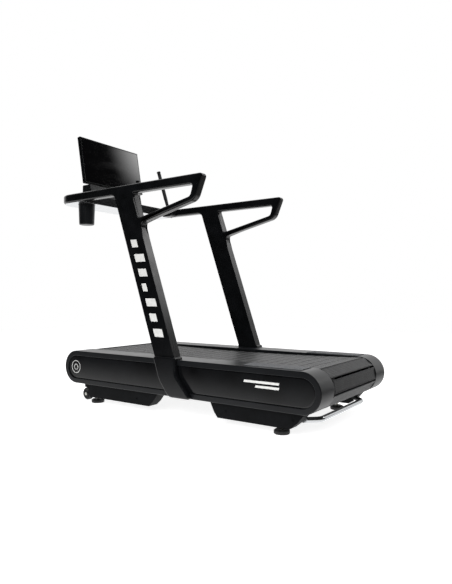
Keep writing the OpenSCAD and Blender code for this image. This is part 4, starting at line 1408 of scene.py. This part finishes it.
@dataclass
class Studio:
    """A white cove behind the machine, a dark room in front of it, and a pale floor."""
    eye: tuple[float, float, float] = (1.9326, -2.6103, 0.6784)
    heading: tuple[float, float, float] = (-0.573, 0.8195, 0.006)
    lens: float = 32.39
    floor_size: float = 14.0
    lamp: tuple[float, float, float] = (0.471, 0.739, 0.48)
    lamp_reach: float = 8.5
    lamp_glow: float = 5.0

    def camera(self) -> None:
        """Sets the camera."""
        data = bpy.data.cameras.new("camera")
        data.lens = self.lens
        data.sensor_width = 36
        data.sensor_fit = "AUTO"
        obj = bpy.data.objects.new("camera", data)
        bpy.context.scene.collection.objects.link(obj)
        obj.location = self.eye
        obj.rotation_euler = Vector(self.heading).to_track_quat("-Z", "Y").to_euler()
        bpy.context.scene.camera = obj

    def softbox(self, name: str, at: tuple[float, float, float], aim: tuple[float, float, float],
                size: tuple[float, float], watts: float, mirrored: bool = True) -> None:
        """Hangs a rectangular softbox.

        Args:
            name: its name.
            at: where it hangs.
            aim: the point it faces.
            size: its width and height in metres.
            watts: its power.
            mirrored: whether glossy surfaces show it.
        """
        data = bpy.data.lights.new(name, "AREA")
        data.shape = "RECTANGLE"
        data.size, data.size_y = size
        data.energy = watts
        obj = bpy.data.objects.new(name, data)
        bpy.context.scene.collection.objects.link(obj)
        obj.location = at
        obj.rotation_euler = (Vector(aim) - Vector(at)).to_track_quat("-Z", "Y").to_euler()
        obj.visible_glossy = mirrored

    def cove(self) -> None:
        """Lights the room: bright behind the machine, dark where the viewer stands."""
        world = bpy.data.worlds.new("cove")
        bpy.context.scene.world = world
        world.use_nodes = True
        tree = world.node_tree
        tree.nodes.clear()
        towards = add(tree, "ShaderNodeTexCoord").outputs["Generated"]
        facing = add(tree, "ShaderNodeVectorMath", {0: towards, 1: (-0.573, 0.8195, 0.0)},
                     operation="DOT_PRODUCT").outputs["Value"]
        glow = add(tree, "ShaderNodeMapRange", {
            "Value": facing, "From Min": 0.24, "From Max": 0.6, "To Min": 0.015, "To Max": 1.0},
            interpolation_type="SMOOTHSTEP").outputs[0]
        high = add(tree, "ShaderNodeVectorMath", {0: towards, 1: self.lamp}, operation="DOT_PRODUCT")
        lobe = add(tree, "ShaderNodeMapRange", {
            "Value": high.outputs["Value"], "From Min": math.cos(math.radians(self.lamp_reach)),
            "From Max": 1.0, "To Min": 0.0, "To Max": self.lamp_glow},
            interpolation_type="SMOOTHSTEP").outputs[0]
        both = add(tree, "ShaderNodeMath", {0: glow, 1: lobe}, operation="ADD").outputs[0]
        room = add(tree, "ShaderNodeBackground", {"Color": (1, 1, 1, 1), "Strength": both})
        white = add(tree, "ShaderNodeBackground", {"Color": (1, 1, 1, 1), "Strength": 1.0})
        seen = add(tree, "ShaderNodeLightPath").outputs["Is Camera Ray"]
        mix = add(tree, "ShaderNodeMixShader", {0: seen, 1: room.outputs[0], 2: white.outputs[0]})
        add(tree, "ShaderNodeOutputWorld", {"Surface": mix.outputs[0]})

    def floor(self) -> None:
        """Lays the pale floor. The camera sees it plain white. Every other ray sees a painted pool of light
        on it, a glow that falls off in front of the machine and towards +X, so undersides show a painted
        reflection of a lit floor.
        """
        bpy.ops.mesh.primitive_plane_add(size=self.floor_size)
        obj = started("floor")
        made = bpy.data.materials.new("white studio floor")
        made.use_nodes = True
        tree = made.node_tree
        tree.nodes.clear()
        place = add(tree, "ShaderNodeTexCoord").outputs["Object"]
        split = add(tree, "ShaderNodeSeparateXYZ", {0: place})
        across = split.outputs["Y"]
        # Painted light: the glow below is emission laid on the floor. It is brightest just in front of the
        # machine and fades forwards and towards +X.
        fade = add(tree, "ShaderNodeMapRange", {
            "Value": across, "From Min": -2.25, "From Max": -0.9, "To Min": 0.0, "To Max": 1.0}).outputs[0]
        curve = add(tree, "ShaderNodeMath", {0: fade, 1: 2.0}, operation="POWER").outputs[0]
        behind = add(tree, "ShaderNodeMapRange", {
            "Value": split.outputs["X"], "From Min": 0.95, "From Max": 1.6, "To Min": 1.1,
            "To Max": 0.2}).outputs[0]
        painted_glow_strength = add(tree, "ShaderNodeMath", {0: curve, 1: behind}, operation="MULTIPLY").outputs[0]
        painted_glow = add(tree, "ShaderNodeEmission", {"Color": (1, 1, 1, 1), "Strength": painted_glow_strength})
        paint = add(tree, "ShaderNodeBsdfDiffuse", {"Color": (0.86, 0.86, 0.86, 1)})
        lift = add(tree, "ShaderNodeEmission", {"Color": (1, 1, 1, 1), "Strength": 0.86})
        shown = add(tree, "ShaderNodeAddShader", {0: paint.outputs[0], 1: lift.outputs[0]})
        seen = add(tree, "ShaderNodeLightPath").outputs["Is Camera Ray"]
        mix = add(tree, "ShaderNodeMixShader", {0: seen, 1: painted_glow.outputs[0], 2: shown.outputs[0]})
        add(tree, "ShaderNodeOutputMaterial", {"Surface": mix.outputs[0]})
        obj.data.materials.append(made)

    def build(self) -> None:
        """Sets up the camera, the lights, the room and the floor."""
        self.camera()
        self.cove()
        self.floor()
        self.softbox("overhead", (0.1, 0.3, 3.4), (0.0, 0.1, 0.4), (2.6, 1.6), 60, mirrored=False)
        self.softbox("front_fill", (0.9, -3.2, 1.9), (-0.2, -0.3, 0.6), (2.4, 1.8), 90, mirrored=False)
        bpy.context.scene.view_settings.view_transform = "Standard"


def main() -> None:
    """Builds the machine's sub-assemblies in order, then the studio."""
    logging.basicConfig(level=logging.INFO, format="%(name)s %(message)s")
    for part in (SideUnits(), RunningBelt(), RailFrame(), Console(), Undercarriage(), Studio()):
        log.info("building %s", type(part).__name__)
        part.build()


if __name__ == "__main__":
    main()
